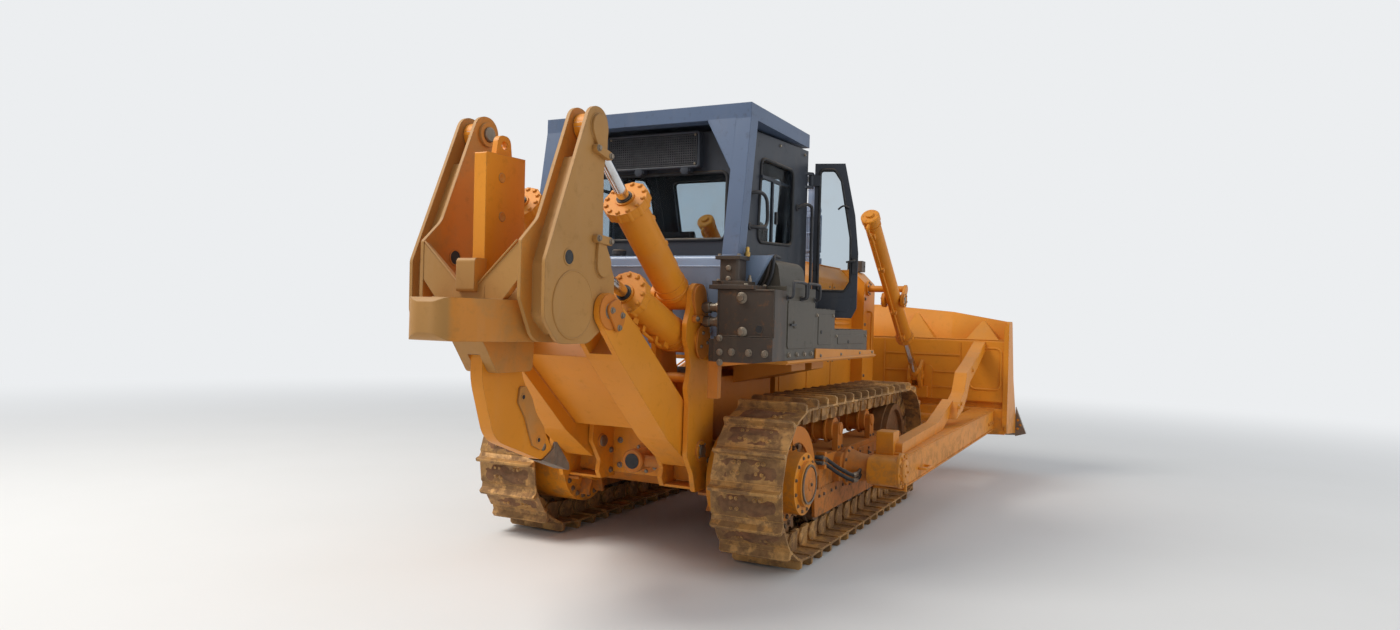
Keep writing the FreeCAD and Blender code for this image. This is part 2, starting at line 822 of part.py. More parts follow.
def cab():
    outer = Part.makeLoft([cab_level(cab_floor, 0), cab_level(cab_waist, 0)], True, True)
    upper = Part.makeLoft([cab_level(cab_waist, 0), cab_level(cab_top, 0)], True, True)
    room_levels = (cab_level(floor_top, cab_wall), cab_level(cab_waist, cab_wall),
                   cab_level(cab_top - ceiling_thickness, cab_wall))
    lower_room = Part.makeLoft([room_levels[0], room_levels[1]], True, True)
    upper_room = Part.makeLoft([room_levels[1], room_levels[2]], True, True)
    shell = outer.fuse(upper).cut(lower_room).cut(upper_room)
    cuts = [prism(side_window, "y", -1200, 1200)]
    cuts.append(prism(rear_window, "x", cab_rear_x - 50, cab_rear_x + 100))
    cuts.append(prism(front_window, "x", 1150, 1400))
    opening = door_prism(door_outline, door_gap, -60, cab_wall + 60)
    cuts.append(opening)
    cuts.append(mirrored(opening))
    shell = shell.cut(group(cuts)).removeSplitter()
    lugs = hinge_lugs()
    return shell.multiFuse(lugs + [mirrored(lug) for lug in lugs])


def pane(window, axis, low, high):
    shape = face(window, axis, low)
    offset = shape.makeOffset2D(-glass_clearance)
    return offset.extrude(vertex(axis, 0, 0, high - low))


def cab_glass():
    panes = []
    skew = math.atan2(cab_knee_side - cab_side, cab_knee_x - cab_rear_x)
    side = pane(side_window, "y", 0, glass_thickness)
    middle = cab_wall / 2
    pivot_x = 350.0
    wall_y = cab_side + (pivot_x - cab_rear_x) * math.tan(skew) - middle / math.cos(skew)
    side.translate(Vector(0, wall_y, 0))
    side.rotate(Vector(pivot_x, wall_y, 0), Vector(0, 0, 1), math.degrees(skew))
    panes.append(side)
    panes.append(mirrored(side))
    panes.append(pane(rear_window, "x", cab_rear_x + middle, cab_rear_x + middle + glass_thickness))
    lean = math.atan2(cab_front_x - cab_top_front_x, cab_top - cab_waist)
    front = pane(front_window, "x", 0, glass_thickness)
    front.translate(Vector(cab_front_x - middle, 0, 0))
    front.rotate(Vector(cab_front_x - middle, 0, cab_waist), Vector(0, 1, 0), -math.degrees(lean))
    panes.append(front)
    return group(panes)


def rops():
    half = rops_tube / 2
    inner = rops_side - rops_tube
    pieces = []
    roof_low = rops_top - roof_depth
    pieces.append(box(roof_rear_x, roof_rear_x + rops_tube, -rops_side, rops_side, roof_low, rops_top))
    pieces.append(box(roof_front_x - rops_tube, roof_front_x, -rops_side, rops_side, roof_low, rops_top))
    pieces.append(box(roof_rear_x, roof_front_x, -inner, inner, rops_top - 60, rops_top - 10))
    for side in (-1, 1):
        low, high = sorted((side * inner, side * rops_side))
        pieces.append(box(roof_rear_x, roof_front_x, low, high, roof_low, rops_top))
        pieces.append(prism([(rops_base_x, rops_post_foot), (rops_base_x + rops_tube, rops_post_foot),
                             (roof_rear_x + rops_tube, roof_low), (roof_rear_x, roof_low)], "y", low, high))
        stub_x = rops_base_x + half
        stub_y = side * (rops_side - half)
        plate_low = rops_post_foot - rops_foot_plate
        stub = []
        for reach in (-rops_stub_half, rops_stub_half):
            stub += [(stub_x + reach, stub_y - reach, 25), (stub_x + reach, stub_y + reach, 25)]
        pieces.append(prism(stub, "z", bracket_top + 2 * bracket_flange, plate_low))
        pieces.append(box(stub_x - rops_foot_half, min(stub_x + rops_foot_half, tank_rear_x - 5),
                          stub_y - rops_foot_half, stub_y + rops_foot_half, plate_low, rops_post_foot))
        lean = (roof_rear_x - rops_base_x) / (roof_low - rops_post_foot)
        inside = side * (inner + 5)
        corners = [Vector(roof_rear_x, side * (inner - rops_gusset_reach), roof_low + 5),
                   Vector(roof_rear_x, inside, roof_low + 5),
                   Vector(roof_rear_x - lean * rops_gusset_drop, inside, roof_low - rops_gusset_drop)]
        gusset = Part.Face(Part.makePolygon(corners + corners[:1]))
        pieces.append(gusset.extrude(Vector(rops_gusset_thickness, 0, 0)))
    return joined(pieces)


def seat():
    rear = seat_front_x - seat_depth
    top = seat_height + cushion_thickness
    cushion = prism([(rear, seat_height, 60), (seat_front_x, seat_height, 60), (seat_front_x, top, 60),
                     (rear + 70, top, 30), (rear - 30, top + backrest_height, 50),
                     (rear - 150, top + backrest_height, 50)], "y", -seat_half_width, seat_half_width)
    base = box(rear + 70, seat_front_x - 80, -seat_half_width + 70, seat_half_width - 70,
               floor_top, seat_height)
    return joined([cushion, base])


def console():
    rear = console_front_x - console_depth
    return prism([(rear, floor_top), (console_front_x, floor_top), (console_front_x - 20, console_top, 40),
                  (rear + 40, console_top, 40)], "y", -console_half_width, console_half_width)


def work_lamps():
    lamps = []
    for y in (-620, 620):
        lamps.append(box(roof_front_x, roof_front_x + 70, y - 80, y + 80, rops_top - 130, rops_top - 20))
    for y in (-430, 430):
        lamps.append(box(guard_front_x - 230, guard_front_x - 90, y - 90, y + 90,
                         guard_top, guard_top + 130))
    return group(lamps)


# Blade

def edge_at(y):
    """The cutting edge's X at a distance from the middle: the wings lead forward."""
    share = max(0.0, (abs(y) - wing_start) / (blade_half_width - wing_start))
    return blade_edge_x + (front_reach - blade_edge_x) * share


def mouldboard_points(y, hollow_x, top_x, top_z, offset):
    """The front arc of the mouldboard at one distance, moved back by an offset."""
    low = Vector(edge_at(y) - 40 - offset, y, blade_bottom + 60)
    middle = Vector(hollow_x - offset, y, (blade_bottom + top_z) / 2)
    return low, middle, Vector(top_x - offset, y, top_z)


def mouldboard_loft(outline):
    """A ruled solid through the outline at each drawing, from the right end to the left."""
    rows = [(-y, hollow, top_x, top_z) for y, hollow, top_x, top_z in reversed(mouldboard_sections)]
    wires = [outline(*row) for row in rows + list(mouldboard_sections)]
    return Part.makeLoft(wires, True, True)


def plate_outline(y, hollow_x, top_x, top_z):
    front = mouldboard_points(y, hollow_x, top_x, top_z, 0)
    back = mouldboard_points(y, hollow_x, top_x, top_z, blade_plate)
    return Part.Wire([
        Part.Arc(*front).toShape(),
        Part.LineSegment(front[2], back[2]).toShape(),
        Part.Arc(*reversed(back)).toShape(),
        Part.LineSegment(back[0], front[0]).toShape(),
    ])


def space_ahead_outline(y, hollow_x, top_x, top_z):
    """All that lies ahead of the mouldboard's back."""
    back = mouldboard_points(y, hollow_x, top_x, top_z, blade_plate)
    high = Vector(front_reach + 600, y, top_z + 300)
    low = Vector(front_reach + 600, y, blade_bottom - 300)
    corner = Vector(back[2].x, y, top_z + 300)
    return Part.Wire([
        Part.Arc(*back).toShape(),
        Part.LineSegment(back[2], corner).toShape(),
        Part.LineSegment(corner, high).toShape(),
        Part.LineSegment(high, low).toShape(),
        Part.LineSegment(low, back[0]).toShape(),
    ])


def ledge_gusset(near_y, far_y, top_y, top_z):
    """A tent-shaped gusset on the ledge, leaning to the back of the mouldboard."""
    tent = prism([(near_y, ledge_z), (far_y, ledge_z), (top_y, top_z, 40)], "x",
                 blade_back_x, front_reach)
    lean = prism([(blade_back_x + 8, ledge_z), (front_reach, ledge_z), (front_reach, top_z + 10),
                  (blade_back_x + 260, top_z + 10)], "y", near_y - 1, far_y + 1)
    return tent.common(lean)


def blade():
    inside = blade_half_width - end_plate
    beam_low, beam_high = lower_beam_levels
    beam = prism([(blade_back_x, beam_low, 30), (front_reach, beam_low), (front_reach, beam_high),
                  (blade_back_x, beam_high, 30)], "y", -inside, inside)
    upper = prism([(blade_back_x, box_bottom, 20), (front_reach, box_bottom), (front_reach, ledge_z),
                   (blade_back_x, ledge_z, 25)], "y", -inside, inside)
    web = prism([(blade_back_x + 60, beam_high - 5), (front_reach, beam_high - 5),
                 (front_reach, box_bottom + 5), (blade_back_x + 60, box_bottom + 5)], "y", -inside, inside)
    backing = [beam, upper, web]
    for row in ledge_gussets:
        backing += [ledge_gusset(*row), mirrored(ledge_gusset(*row))]
    backing = backing[0].multiFuse(backing[1:]).cut(mouldboard_loft(space_ahead_outline))
    end = prism([(blade_back_x - 15, lower_beam_levels[0] + 20, 60), (blade_back_x - 15, 1935, 40),
                 (5330, 1935, 60), (5400, 1710, 300), (5560, 1200, 400), (front_reach, 520),
                 (front_reach - 30, blade_bottom + 30), (blade_edge_x + 40, blade_bottom + 60)],
                "y", inside, blade_half_width)
    flange = box(blade_back_x - 15, blade_back_x + 15, blade_half_width - end_flange, blade_half_width,
                 lower_beam_levels[0] + 100, 1880)
    pieces = [mouldboard_loft(plate_outline), backing, end, mirrored(end), flange, mirrored(flange)]
    for level in blade_rib_levels:
        for low, high in ((540, 1500), (-1500, -540)):
            pieces.append(box(blade_back_x - 12, blade_back_x + 5, low, high, level, level + 16))
    for side in (-1, 1):
        for offset in (-lift_eye_half - seat_gap - lift_ear, lift_eye_half + seat_gap):
            y = side * lift_eye.y + offset
            pieces.append(prism([(lift_eye.x - 95, lift_eye.z - 60, 60), (blade_back_x + 5, lift_eye.z - 260),
                                 (blade_back_x + 5, lift_eye.z + 200), (lift_eye.x - 60, lift_eye.z + 95, 70)],
                                "y", y, y + lift_ear))
    return pieces[0].multiFuse(pieces[1:])


def cutting_edge():
    """The bolted edge, in a middle length and two wings, with its two end bits."""
    wires = []
    for y in (-blade_half_width, -wing_start, wing_start, blade_half_width):
        x = edge_at(y)
        corners = [Vector(x, y, blade_bottom), Vector(x - 62, y, blade_bottom + 30),
                   Vector(x - 150, y, blade_bottom + 250), Vector(x - 110, y, blade_bottom + 260)]
        wires.append(Part.makePolygon(corners + corners[:1]))
    edge = Part.makeLoft(wires, True, True).cut(blade())
    bit = prism([(blade_half_width, blade_bottom), (blade_half_width + 130, blade_bottom + 40),
                 (blade_half_width, blade_bottom + 380)], "x", front_reach - 130, front_reach - 70)
    return joined([edge, bit, mirrored(bit)])


def arm_top(x):
    """Height of a push arm's upper face."""
    share = (x - arm_rear_x) / (blade_back_x - arm_rear_x)
    return arm_rear_levels[1] + (arm_front_levels[1] - arm_rear_levels[1]) * share


def push_arm():
    """A box beam that widens its stance towards the blade, with its trunnion eye."""
    wires = []
    for x, shift, levels in ((arm_rear_x, 0, arm_rear_levels), (blade_back_x, arm_spread, arm_front_levels)):
        corners = [Vector(x, arm_inner + shift, levels[0]), Vector(x, arm_outer + shift, levels[0]),
                   Vector(x, arm_outer + shift, levels[1]), Vector(x, arm_inner + shift, levels[1])]
        wires.append(Part.makePolygon(corners + corners[:1]))
    beam = Part.makeLoft(wires, True, True)
    eye = prism([(trunnion_x - 150, trunnion_z - 110, 90), (arm_rear_x, arm_rear_levels[0]),
                 (arm_rear_x, arm_rear_levels[1]), (trunnion_x - 150, trunnion_z + 110, 90)],
                "y", arm_inner, arm_outer)
    bore = disc("y", trunnion_x, trunnion_z, trunnion_radius + pivot_clearance, arm_inner, arm_outer)
    return joined([beam, eye]).cut(bore)


def bent_brace():
    """The fixed brace: flat along the arm, then bent up to the blade."""
    foot_y = (arm_inner + 100, arm_inner + 220)
    head_y = (arm_inner + 160, arm_inner + 300)
    foot = prism([(arm_rear_x + 20, arm_top(arm_rear_x + 20)), (3050, arm_top(3050)), (3400, 900, 300),
                  (3550, 1060), (3300, 1000, 300), (2800, arm_top(2800) + 100, 200),
                  (arm_rear_x + 20, arm_top(arm_rear_x) + 100, 30)], "y", *foot_y)
    head = prism([(3330, 870), (3700, 940, 150), (3930, 1080, 100), (4080, 1230, 60), (4420, 1330, 80),
                  (blade_back_x, 1560), (blade_back_x, 1680), (4400, 1470, 60), (3900, 1340, 60),
                  (3740, 1130, 80), (3500, 1040)], "y", *head_y)
    foot_block = prism([(arm_rear_x - 60, arm_rear_levels[1] - 60), (arm_rear_x + 140, arm_rear_levels[1] - 60),
                        (arm_rear_x + 140, 930, 20), (arm_rear_x - 60, 930, 20)],
                       "y", arm_inner + 10, foot_y[0] + 60)
    return foot.multiFuse([head, foot_block]).cut(push_arm())


def tilt_strut():
    """The tilt cylinder on the other side, at its middle length."""
    y = arm_inner + arm_width / 2 + 120
    start = Vector(3000, y, arm_top(3000) + 150)
    finish = Vector(blade_back_x - 30, y, 1600)
    axis = (finish - start).normalize()
    middle = start + axis * (finish - start).Length * 0.55
    lug = prism([(2880, arm_top(2880)), (3120, arm_top(3120)), (3060, arm_top(3060) + 190, 50),
                 (2940, arm_top(2940) + 190, 50)], "y", y - 60, y + 60)
    seat = prism([(blade_back_x - 100, 1600 - 60, 50), (blade_back_x, 1600 - 110), (blade_back_x, 1600 + 90),
                  (blade_back_x - 100, 1600 + 60, 50)], "y", y - 60, y + 60)
    strut = joined([bar(start, middle, 75), bar(middle, finish, 42), lug, seat])
    return strut.cut(push_arm())


def blade_braces():
    return group([tilt_strut(), mirrored(bent_brace())])


def stabilizers():
    """Two tubes from the push arms to the middle of the blade."""
    start = Vector(4700, arm_inner + 100, 720)
    finish = Vector(blade_back_x + 10, 250, 700)
    return both(bar(start, finish, 55).cut(push_arm()).cut(blade()))


# Blade lift cylinders

def cylinder_axis():
    return (lift_eye - lift_yoke).normalize()


def blade_lift_barrel():
    axis = cylinder_axis()
    top = lift_yoke - axis * lift_above_yoke
    low = lift_yoke + axis * lift_below_yoke
    barrel = bar(top, low, lift_barrel_radius)
    gland = bar(low - axis * 60, low, lift_barrel_radius + 20)
    head = bar(top, top + axis * 60, lift_barrel_radius + 15)
    reach = lift_barrel_radius + side_clearance + yoke_ring
    pins = disc("y", lift_yoke.x, lift_yoke.z, 45, lift_yoke.y - reach, lift_yoke.y + reach)
    bore = bar(top + axis * 120, low + axis * 1, lift_rod_radius + 1)
    return joined([barrel, gland, head, pins]).cut(bore)


def blade_lift_rod():
    axis = cylinder_axis()
    rod = bar(lift_yoke - axis * lift_rod_inside, lift_eye - axis * 50, lift_rod_radius)
    eye = disc("y", lift_eye.x, lift_eye.z, lift_eye_radius, lift_eye.y - lift_eye_half,
               lift_eye.y + lift_eye_half)
    return joined([rod, eye])


def cylinder_yokes():
    """Two ears round each lift cylinder's trunnions, on a bar from the radiator guard."""
    axis = cylinder_axis()
    across = Vector(axis.z, 0, -axis.x)
    hub = lift_yoke - across * yoke_reach
    inner = lift_yoke.y - lift_barrel_radius - side_clearance - yoke_ring
    outer = lift_yoke.y + lift_barrel_radius + side_clearance
    pieces = [disc("y", hub.x, hub.z, 38, guard_half_width, outer + yoke_ring)]
    for low in (inner, outer):
        near = lift_yoke + axis * 70
        far = lift_yoke - axis * 70
        ear = prism([(near.x, near.z), (hub.x + axis.x * 45, hub.z + axis.z * 45),
                     (hub.x - axis.x * 45, hub.z - axis.z * 45), (far.x, far.z)], "y", low, low + yoke_ring)
        eye = disc("y", lift_yoke.x, lift_yoke.z, 85, low, low + yoke_ring)
        eye = eye.fuse(ear).fuse(disc("y", hub.x, hub.z, 50, low, low + yoke_ring))
        pieces.append(eye.cut(disc("y", lift_yoke.x, lift_yoke.z, 46, low, low + yoke_ring)))
    return both(joined(pieces))


# Ripper

def tower():
    """One ripper tower: two waisted plates, a front web, a floor and a cross tube."""
    head = [(-612, 1950, 100), (-612, 2125, 105), (-375, 2125, 105), (-290, 1810, 100), (-232, 1520, 100),
            (-200, case_top - 10), (case_rear_x, case_top - 20)]
    outer = [(case_rear_x, tower_floor), (-455, tower_floor, 20), (-500, 710, 60), (-605, 850, 80),
             (-600, 1250, 100), (-632, 1350, 60), (-585, 1490, 100), (-625, 1640, 60), (-668, 1700, 50),
             (-668, 1820, 60)] + head
    inner = [(case_rear_x, tower_floor), (-375, tower_floor, 20), (-415, 630, 30), (-395, 715, 30),
             (-435, 770, 40), (-518, 880, 60), (-490, 1400, 200), (-560, 1600, 100)] + head
    pieces = [prism(inner, "y", tower_inner, tower_inner + tower_plate),
              prism(outer, "y", tower_outer - tower_plate, tower_outer),
              box(case_rear_x - 40, case_rear_x, tower_inner, tower_outer, 600, case_top - 10),
              box(tower_pivot.x + 20, case_rear_x, tower_inner, tower_outer, tower_floor, tower_floor + 20),
              disc("y", cross_tube_x, cross_tube_z, cross_tube_radius, tower_inner, tower_outer)]
    for pivot in (tower_pivot, lift_base, tilt_base):
        pieces.append(disc("y", pivot.x, pivot.z, ripper_pin_radius, tower_inner - 15, tower_outer + 15))
    for pivot, radius in ((tower_pivot, 75), (lift_base, 95), (tilt_base, 80)):
        pieces.append(disc("y", pivot.x, pivot.z, radius, tower_outer, tower_outer + 15))
    return joined(pieces)


def ripper_mount():
    rail = box(case_rear_x - 30, case_rear_x, -tower_inner, tower_inner, 600, 1390)
    return joined([tower(), mirrored(tower()), rail])


def eyed_arm():
    """One lower arm in its raised place."""
    low = tower_pivot
    high = carrier_pivot
    along = (high - low).normalize()
    across = Vector(-along.z, 0, along.x)
    points = []
    for share, depth in arm_section:
        point = low + (high - low) * share + across * depth
        points.append((point.x, point.z))
    body = prism(points, "y", ripper_arm_inner, ripper_arm_outer)
    ends = [disc("y", low.x, low.z, 130, ripper_arm_inner, ripper_arm_outer),
            disc("y", high.x, high.z, 115, ripper_arm_inner, ripper_arm_outer)]
    arm = joined([body] + ends)
    arm = arm.cut(disc("y", low.x, low.z, ripper_pin_radius + pivot_clearance, 0, 1000))
    arm = arm.cut(disc("y", high.x, high.z, ripper_pin_radius + pivot_clearance, 0, 1000))
    slot = disc("y", high.x, high.z, 300, ear_inner - side_clearance, ear_outer + side_clearance)
    return arm.cut(slot)


def ripper_arms():
    low = tower_pivot
    high = carrier_pivot
    along = (high - low).normalize()
    across = Vector(along.z, 0, -along.x)
    start = low + along * 330
    finish = high - along * 420
    points = []
    for base, depth in ((start, -60), (finish, -60), (finish, 60), (start, 60)):
        point = base + across * depth
        points.append((point.x, point.z))
    plate = prism(points, "y", -ripper_arm_inner, ripper_arm_inner)
    return joined([eyed_arm(), mirrored(eyed_arm()), plate])


def ripper_pins():
    return both(disc("y", carrier_pivot.x, carrier_pivot.z, ripper_pin_radius,
                     ripper_arm_inner - 12, ripper_arm_outer + 12))


def carrier_ear():
    """Two plates with round heads, and the web between them, set in from their rear edges."""
    q = carrier_pivot
    front = [(q.x + 125, q.z - 40, 100), (q.x + 125, q.z + 215, 80), (q.x - 25, q.z + 450, 80),
             (q.x - 35, tilt_pin.z - 255, 200), (q.x, tilt_pin.z - 115, 80), (q.x, tilt_pin.z + 120, 112),
             (q.x - 200, tilt_pin.z + 120, 112)]
    outer = front + [(q.x - 615, q.z + 280, 60), (q.x - 610, q.z - 55, 120), (q.x - 470, q.z - 205, 150),
                     (q.x - 160, q.z - 205, 150)]
    inner = front + [(q.x - 510, q.z + 535, 150), (gusset_x - 3, q.z + 395, 20), (gusset_x - 3, q.z + 60, 40),
                     (q.x - 530, q.z - 195, 120), (q.x - 160, q.z - 205, 150)]
    pieces = [prism(inner, "y", ear_inner, ear_inner + ear_plate),
              prism(outer, "y", ear_outer - ear_plate, ear_outer)]
    web = [(q.x - 274, q.z + 939, 10), (q.x - 558, q.z + 263, 60), (q.x - 553, q.z - 55, 80),
           (q.x - 420, q.z - 150), (q.x - 400, q.z - 125), (q.x - 523, q.z - 40, 50),
           (q.x - 528, q.z + 270, 30), (q.x - 247, q.z + 931)]
    pieces.append(prism(web, "y", ear_inner, ear_outer))
    pieces.append(disc("y", q.x - tube_back, q.z + tube_rise, tube_radius + 10, ear_outer,
                       ear_outer + tube_cap))
    ear = joined(pieces)
    return ear.cut(disc("y", q.x, q.z, ripper_pin_radius + pivot_clearance, 0, 1000))


def ripper_carrier():
    q = carrier_pivot
    tube_x = q.x - tube_back
    tube_z = q.z + tube_rise
    pieces = [carrier_ear(), mirrored(carrier_ear())]
    for side in (-1, 1):
        low, high = sorted((side * 60, side * ear_inner))
        pieces.append(disc("y", tube_x, tube_z, tube_radius, low, high))
    shank_room = box(shank_rear_x - 10, shank_front_x + 30, -shank_thickness / 2, shank_thickness / 2, 0, 4000)
    plan = prism([(rear_reach, 150, 150), (rear_reach, -150, 150), (tube_x - 120, -ear_inner),
                  (tube_x - 120, ear_inner)], "z", q.z - 220, q.z + 60)
    side_view = prism([(rear_reach - 5, q.z - 198, 70), (rear_reach - 5, q.z + 48, 50), (tube_x, q.z + 48),
                       (tube_x, q.z - 198)], "y", -ear_inner, ear_inner)
    block = plan.common(side_view)
    holder = prism([(gusset_x - 10, q.z - 190), (q.x - 520, q.z - 395, 40), (q.x - 180, q.z - 395, 40),
                    (q.x - 150, q.z + 150), (gusset_x, q.z + 150)], "y", -holder_half, holder_half)
    low = q.z + 30
    deep = q.z + 130
    valley = prism([(ear_inner + 5, q.z + 390), (70, deep), (-70, deep), (-ear_inner - 5, q.z + 390),
                    (-ear_inner - 5, q.z + 170), (-240, low), (240, low), (ear_inner + 5, q.z + 170)],
                   "x", gusset_x, gusset_x + gusset_thickness)
    pocket = prism([(gusset_x - 35, q.z + 90, 20), (gusset_x - 35, q.z + 290, 25), (gusset_x + 70, q.z + 290),
                    (gusset_x + 70, q.z + 90)], "y", -70, 70)
    pieces += [block, holder, valley, pocket]
    return pieces[0].multiFuse(pieces[1:]).cut(shank_room)


def ripper_shank():
    half = shank_thickness / 2
    outline = [(shank_front_x, shank_top), (shank_rear_x, shank_top - 10, 10), (shank_rear_x + 20, 1450, 400),
               (-2080, 1080, 200), (-1600, 900, 60), (-1480, 960, 20), (-1640, 1180, 150),
               (shank_front_x + 20, 1480, 300)]
    body = prism(outline, "y", -half, half)
    eye_x = (shank_front_x + shank_rear_x) / 2 + 10
    eye = prism([(eye_x - 75, shank_top - 5), (eye_x + 75, shank_top - 5), (eye_x + 55, shank_top + 120, 50),
                 (eye_x - 55, shank_top + 120, 50)], "y", -20, 20)
    eye = eye.cut(disc("y", eye_x, shank_top + 60, 26, -30, 30))
    return joined([body, eye])


def ripper_tip():
    """The shank's replaceable tip, whose pocket takes the shank's nose."""
    tip = prism([(-1600, 898), (-1290, 790, 10), (-1300, 840), (-1470, 1030, 20), (-1482, 962)],
                "y", -tip_half_width, tip_half_width)
    half = shank_thickness / 2
    return tip.cut(box(-1700, -1400, -half, half, 890, 1100))


def ripper_cylinder(base, pin, barrel_share, rod_start):
    """Barrel and rod from a tower pin to a carrier pin, at the left."""
    start = at_y(base, ripper_y)
    finish = at_y(pin, ripper_y)
    axis = (finish - start).normalize()
    length = (finish - start).Length
    gland_at = start + axis * length * barrel_share
    barrel = bar(start + axis * 60, gland_at, ripper_barrel_radius)
    gland = bar(gland_at - axis * 70, gland_at, ripper_barrel_radius + 42)
    eye = disc("y", base.x, base.z, 95, tower_inner + tower_plate + side_clearance,
               tower_outer - tower_plate - side_clearance)
    bore = bar(start + axis * 220, gland_at + axis, ripper_rod_radius + 1)
    barrel = joined([barrel, gland, eye]).cut(bore)
    barrel = barrel.cut(disc("y", base.x, base.z, ripper_pin_radius + pivot_clearance, 0, 1000))
    rod = bar(start + axis * rod_start, finish - axis * 40, ripper_rod_radius)
    rod_eye = disc("y", pin.x, pin.z, 80, ear_inner + ear_plate + side_clearance,
                   ear_outer - ear_plate - side_clearance)
    return barrel, joined([rod, rod_eye])


def main():
    os.makedirs("parts", exist_ok=True)
    nodes = [
        ("main_frame", main_frame()),
        ("engine", engine()),
        ("hood", hood()),
        ("radiator_guard", radiator_guard()),
        ("exhaust_stack", exhaust_stack()),
        ("air_cleaner", air_cleaner()),
        ("platform", platform()),
        ("side_boxes", side_boxes()),
        ("step_boxes", step_boxes()),
        ("rops_brackets", rops_brackets()),
        ("fuel_tank", fuel_tank()),
        ("cab", cab()),
        ("cab_glass", cab_glass()),
        ("rops", rops()),
        ("seat", seat()),
        ("console", console()),
        ("work_lamps", work_lamps()),
        ("track_left", track(track_y)),
        ("track_right", track(-track_y)),
        ("sprockets", both(sprocket())),
        ("final_drives", both(final_drive())),
        ("track_frames", both(track_frame())),
        ("track_rollers", both(track_rollers())),
        ("carrier_rollers", both(carrier_rollers())),
        ("idlers", both(idler())),
        ("equalizer_bar", equalizer_bar()),
        ("cylinder_yokes", cylinder_yokes()),
        ("ripper_mount", ripper_mount()),
        ("push_arms", both(push_arm())),
        ("blade", blade()),
        ("cutting_edge", cutting_edge()),
        ("blade_braces", blade_braces()),
        ("stabilizers", stabilizers()),
        ("blade_lift_barrel_left", blade_lift_barrel()),
        ("blade_lift_barrel_right", mirrored(blade_lift_barrel())),
        ("blade_lift_rod_left", blade_lift_rod()),
        ("blade_lift_rod_right", mirrored(blade_lift_rod())),
        ("ripper_arms", ripper_arms()),
        ("ripper_pins", ripper_pins()),
        ("ripper_carrier", ripper_carrier()),
        ("ripper_shank", ripper_shank()),
        ("ripper_tip", ripper_tip()),
        ("door_left", door()),
        ("door_glass_left", door_glass()),
        ("door_right", mirrored(opened(door()))),
        ("door_glass_right", mirrored(opened(door_glass()))),
    ]
    lift_barrel, lift_rod = ripper_cylinder(lift_base, lift_pin, 0.66, 230)
    tilt_barrel, tilt_rod = ripper_cylinder(tilt_base, tilt_pin, 0.62, 420)
    for name, shape in (("ripper_lift_barrel", lift_barrel), ("ripper_lift_rod", lift_rod),
                        ("ripper_tilt_barrel", tilt_barrel), ("ripper_tilt_rod", tilt_rod)):
        nodes.append((name + "_left", shape))
        nodes.append((name + "_right", mirrored(shape)))
    for name, shape in nodes:
        save(name, shape)


main()
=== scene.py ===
import json
import math
import random
import bmesh
import bpy
from mathutils import Matrix, Vector, noise


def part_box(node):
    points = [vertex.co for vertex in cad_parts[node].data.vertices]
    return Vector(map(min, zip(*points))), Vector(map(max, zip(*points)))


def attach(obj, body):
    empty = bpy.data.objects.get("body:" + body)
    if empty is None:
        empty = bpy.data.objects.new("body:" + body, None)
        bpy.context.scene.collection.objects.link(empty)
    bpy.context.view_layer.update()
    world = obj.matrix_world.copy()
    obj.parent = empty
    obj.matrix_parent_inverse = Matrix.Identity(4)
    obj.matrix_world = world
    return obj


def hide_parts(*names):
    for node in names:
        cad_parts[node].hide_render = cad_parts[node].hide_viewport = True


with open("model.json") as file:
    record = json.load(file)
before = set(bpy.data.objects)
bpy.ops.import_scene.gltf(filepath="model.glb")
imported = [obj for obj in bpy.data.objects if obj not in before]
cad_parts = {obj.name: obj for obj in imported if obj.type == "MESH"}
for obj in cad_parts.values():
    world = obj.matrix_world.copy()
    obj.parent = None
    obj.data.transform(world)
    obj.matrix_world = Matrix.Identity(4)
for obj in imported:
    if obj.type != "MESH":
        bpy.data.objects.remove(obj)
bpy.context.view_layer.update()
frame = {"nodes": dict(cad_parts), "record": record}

# A crawler bulldozer, dressed. Metres. Points are given from the sprocket axle, as x forward,
# y to the machine's left and z up, and spot() moves them to the frame's own origin.

nodes = frame["nodes"]
sprocket_low, sprocket_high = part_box("sprockets")
axle_x = (sprocket_low.x + sprocket_high.x) / 2
up = Vector((0, 0, 1))
ahead = Vector((1, 0, 0))
left = Vector((0, 1, 0))
random.seed(7)


def spot(x, y, z):
    return Vector((x + axle_x, y, z))


def linear(red, green, blue):
    """A display colour, 0 to 255, as the linear colour that shaders take."""
    parts = []
    for value in (red, green, blue):
        share = value / 255
        parts.append(share / 12.92 if share <= 0.04045 else ((share + 0.055) / 1.055) ** 2.4)
    return (*parts, 1)


# Finishes

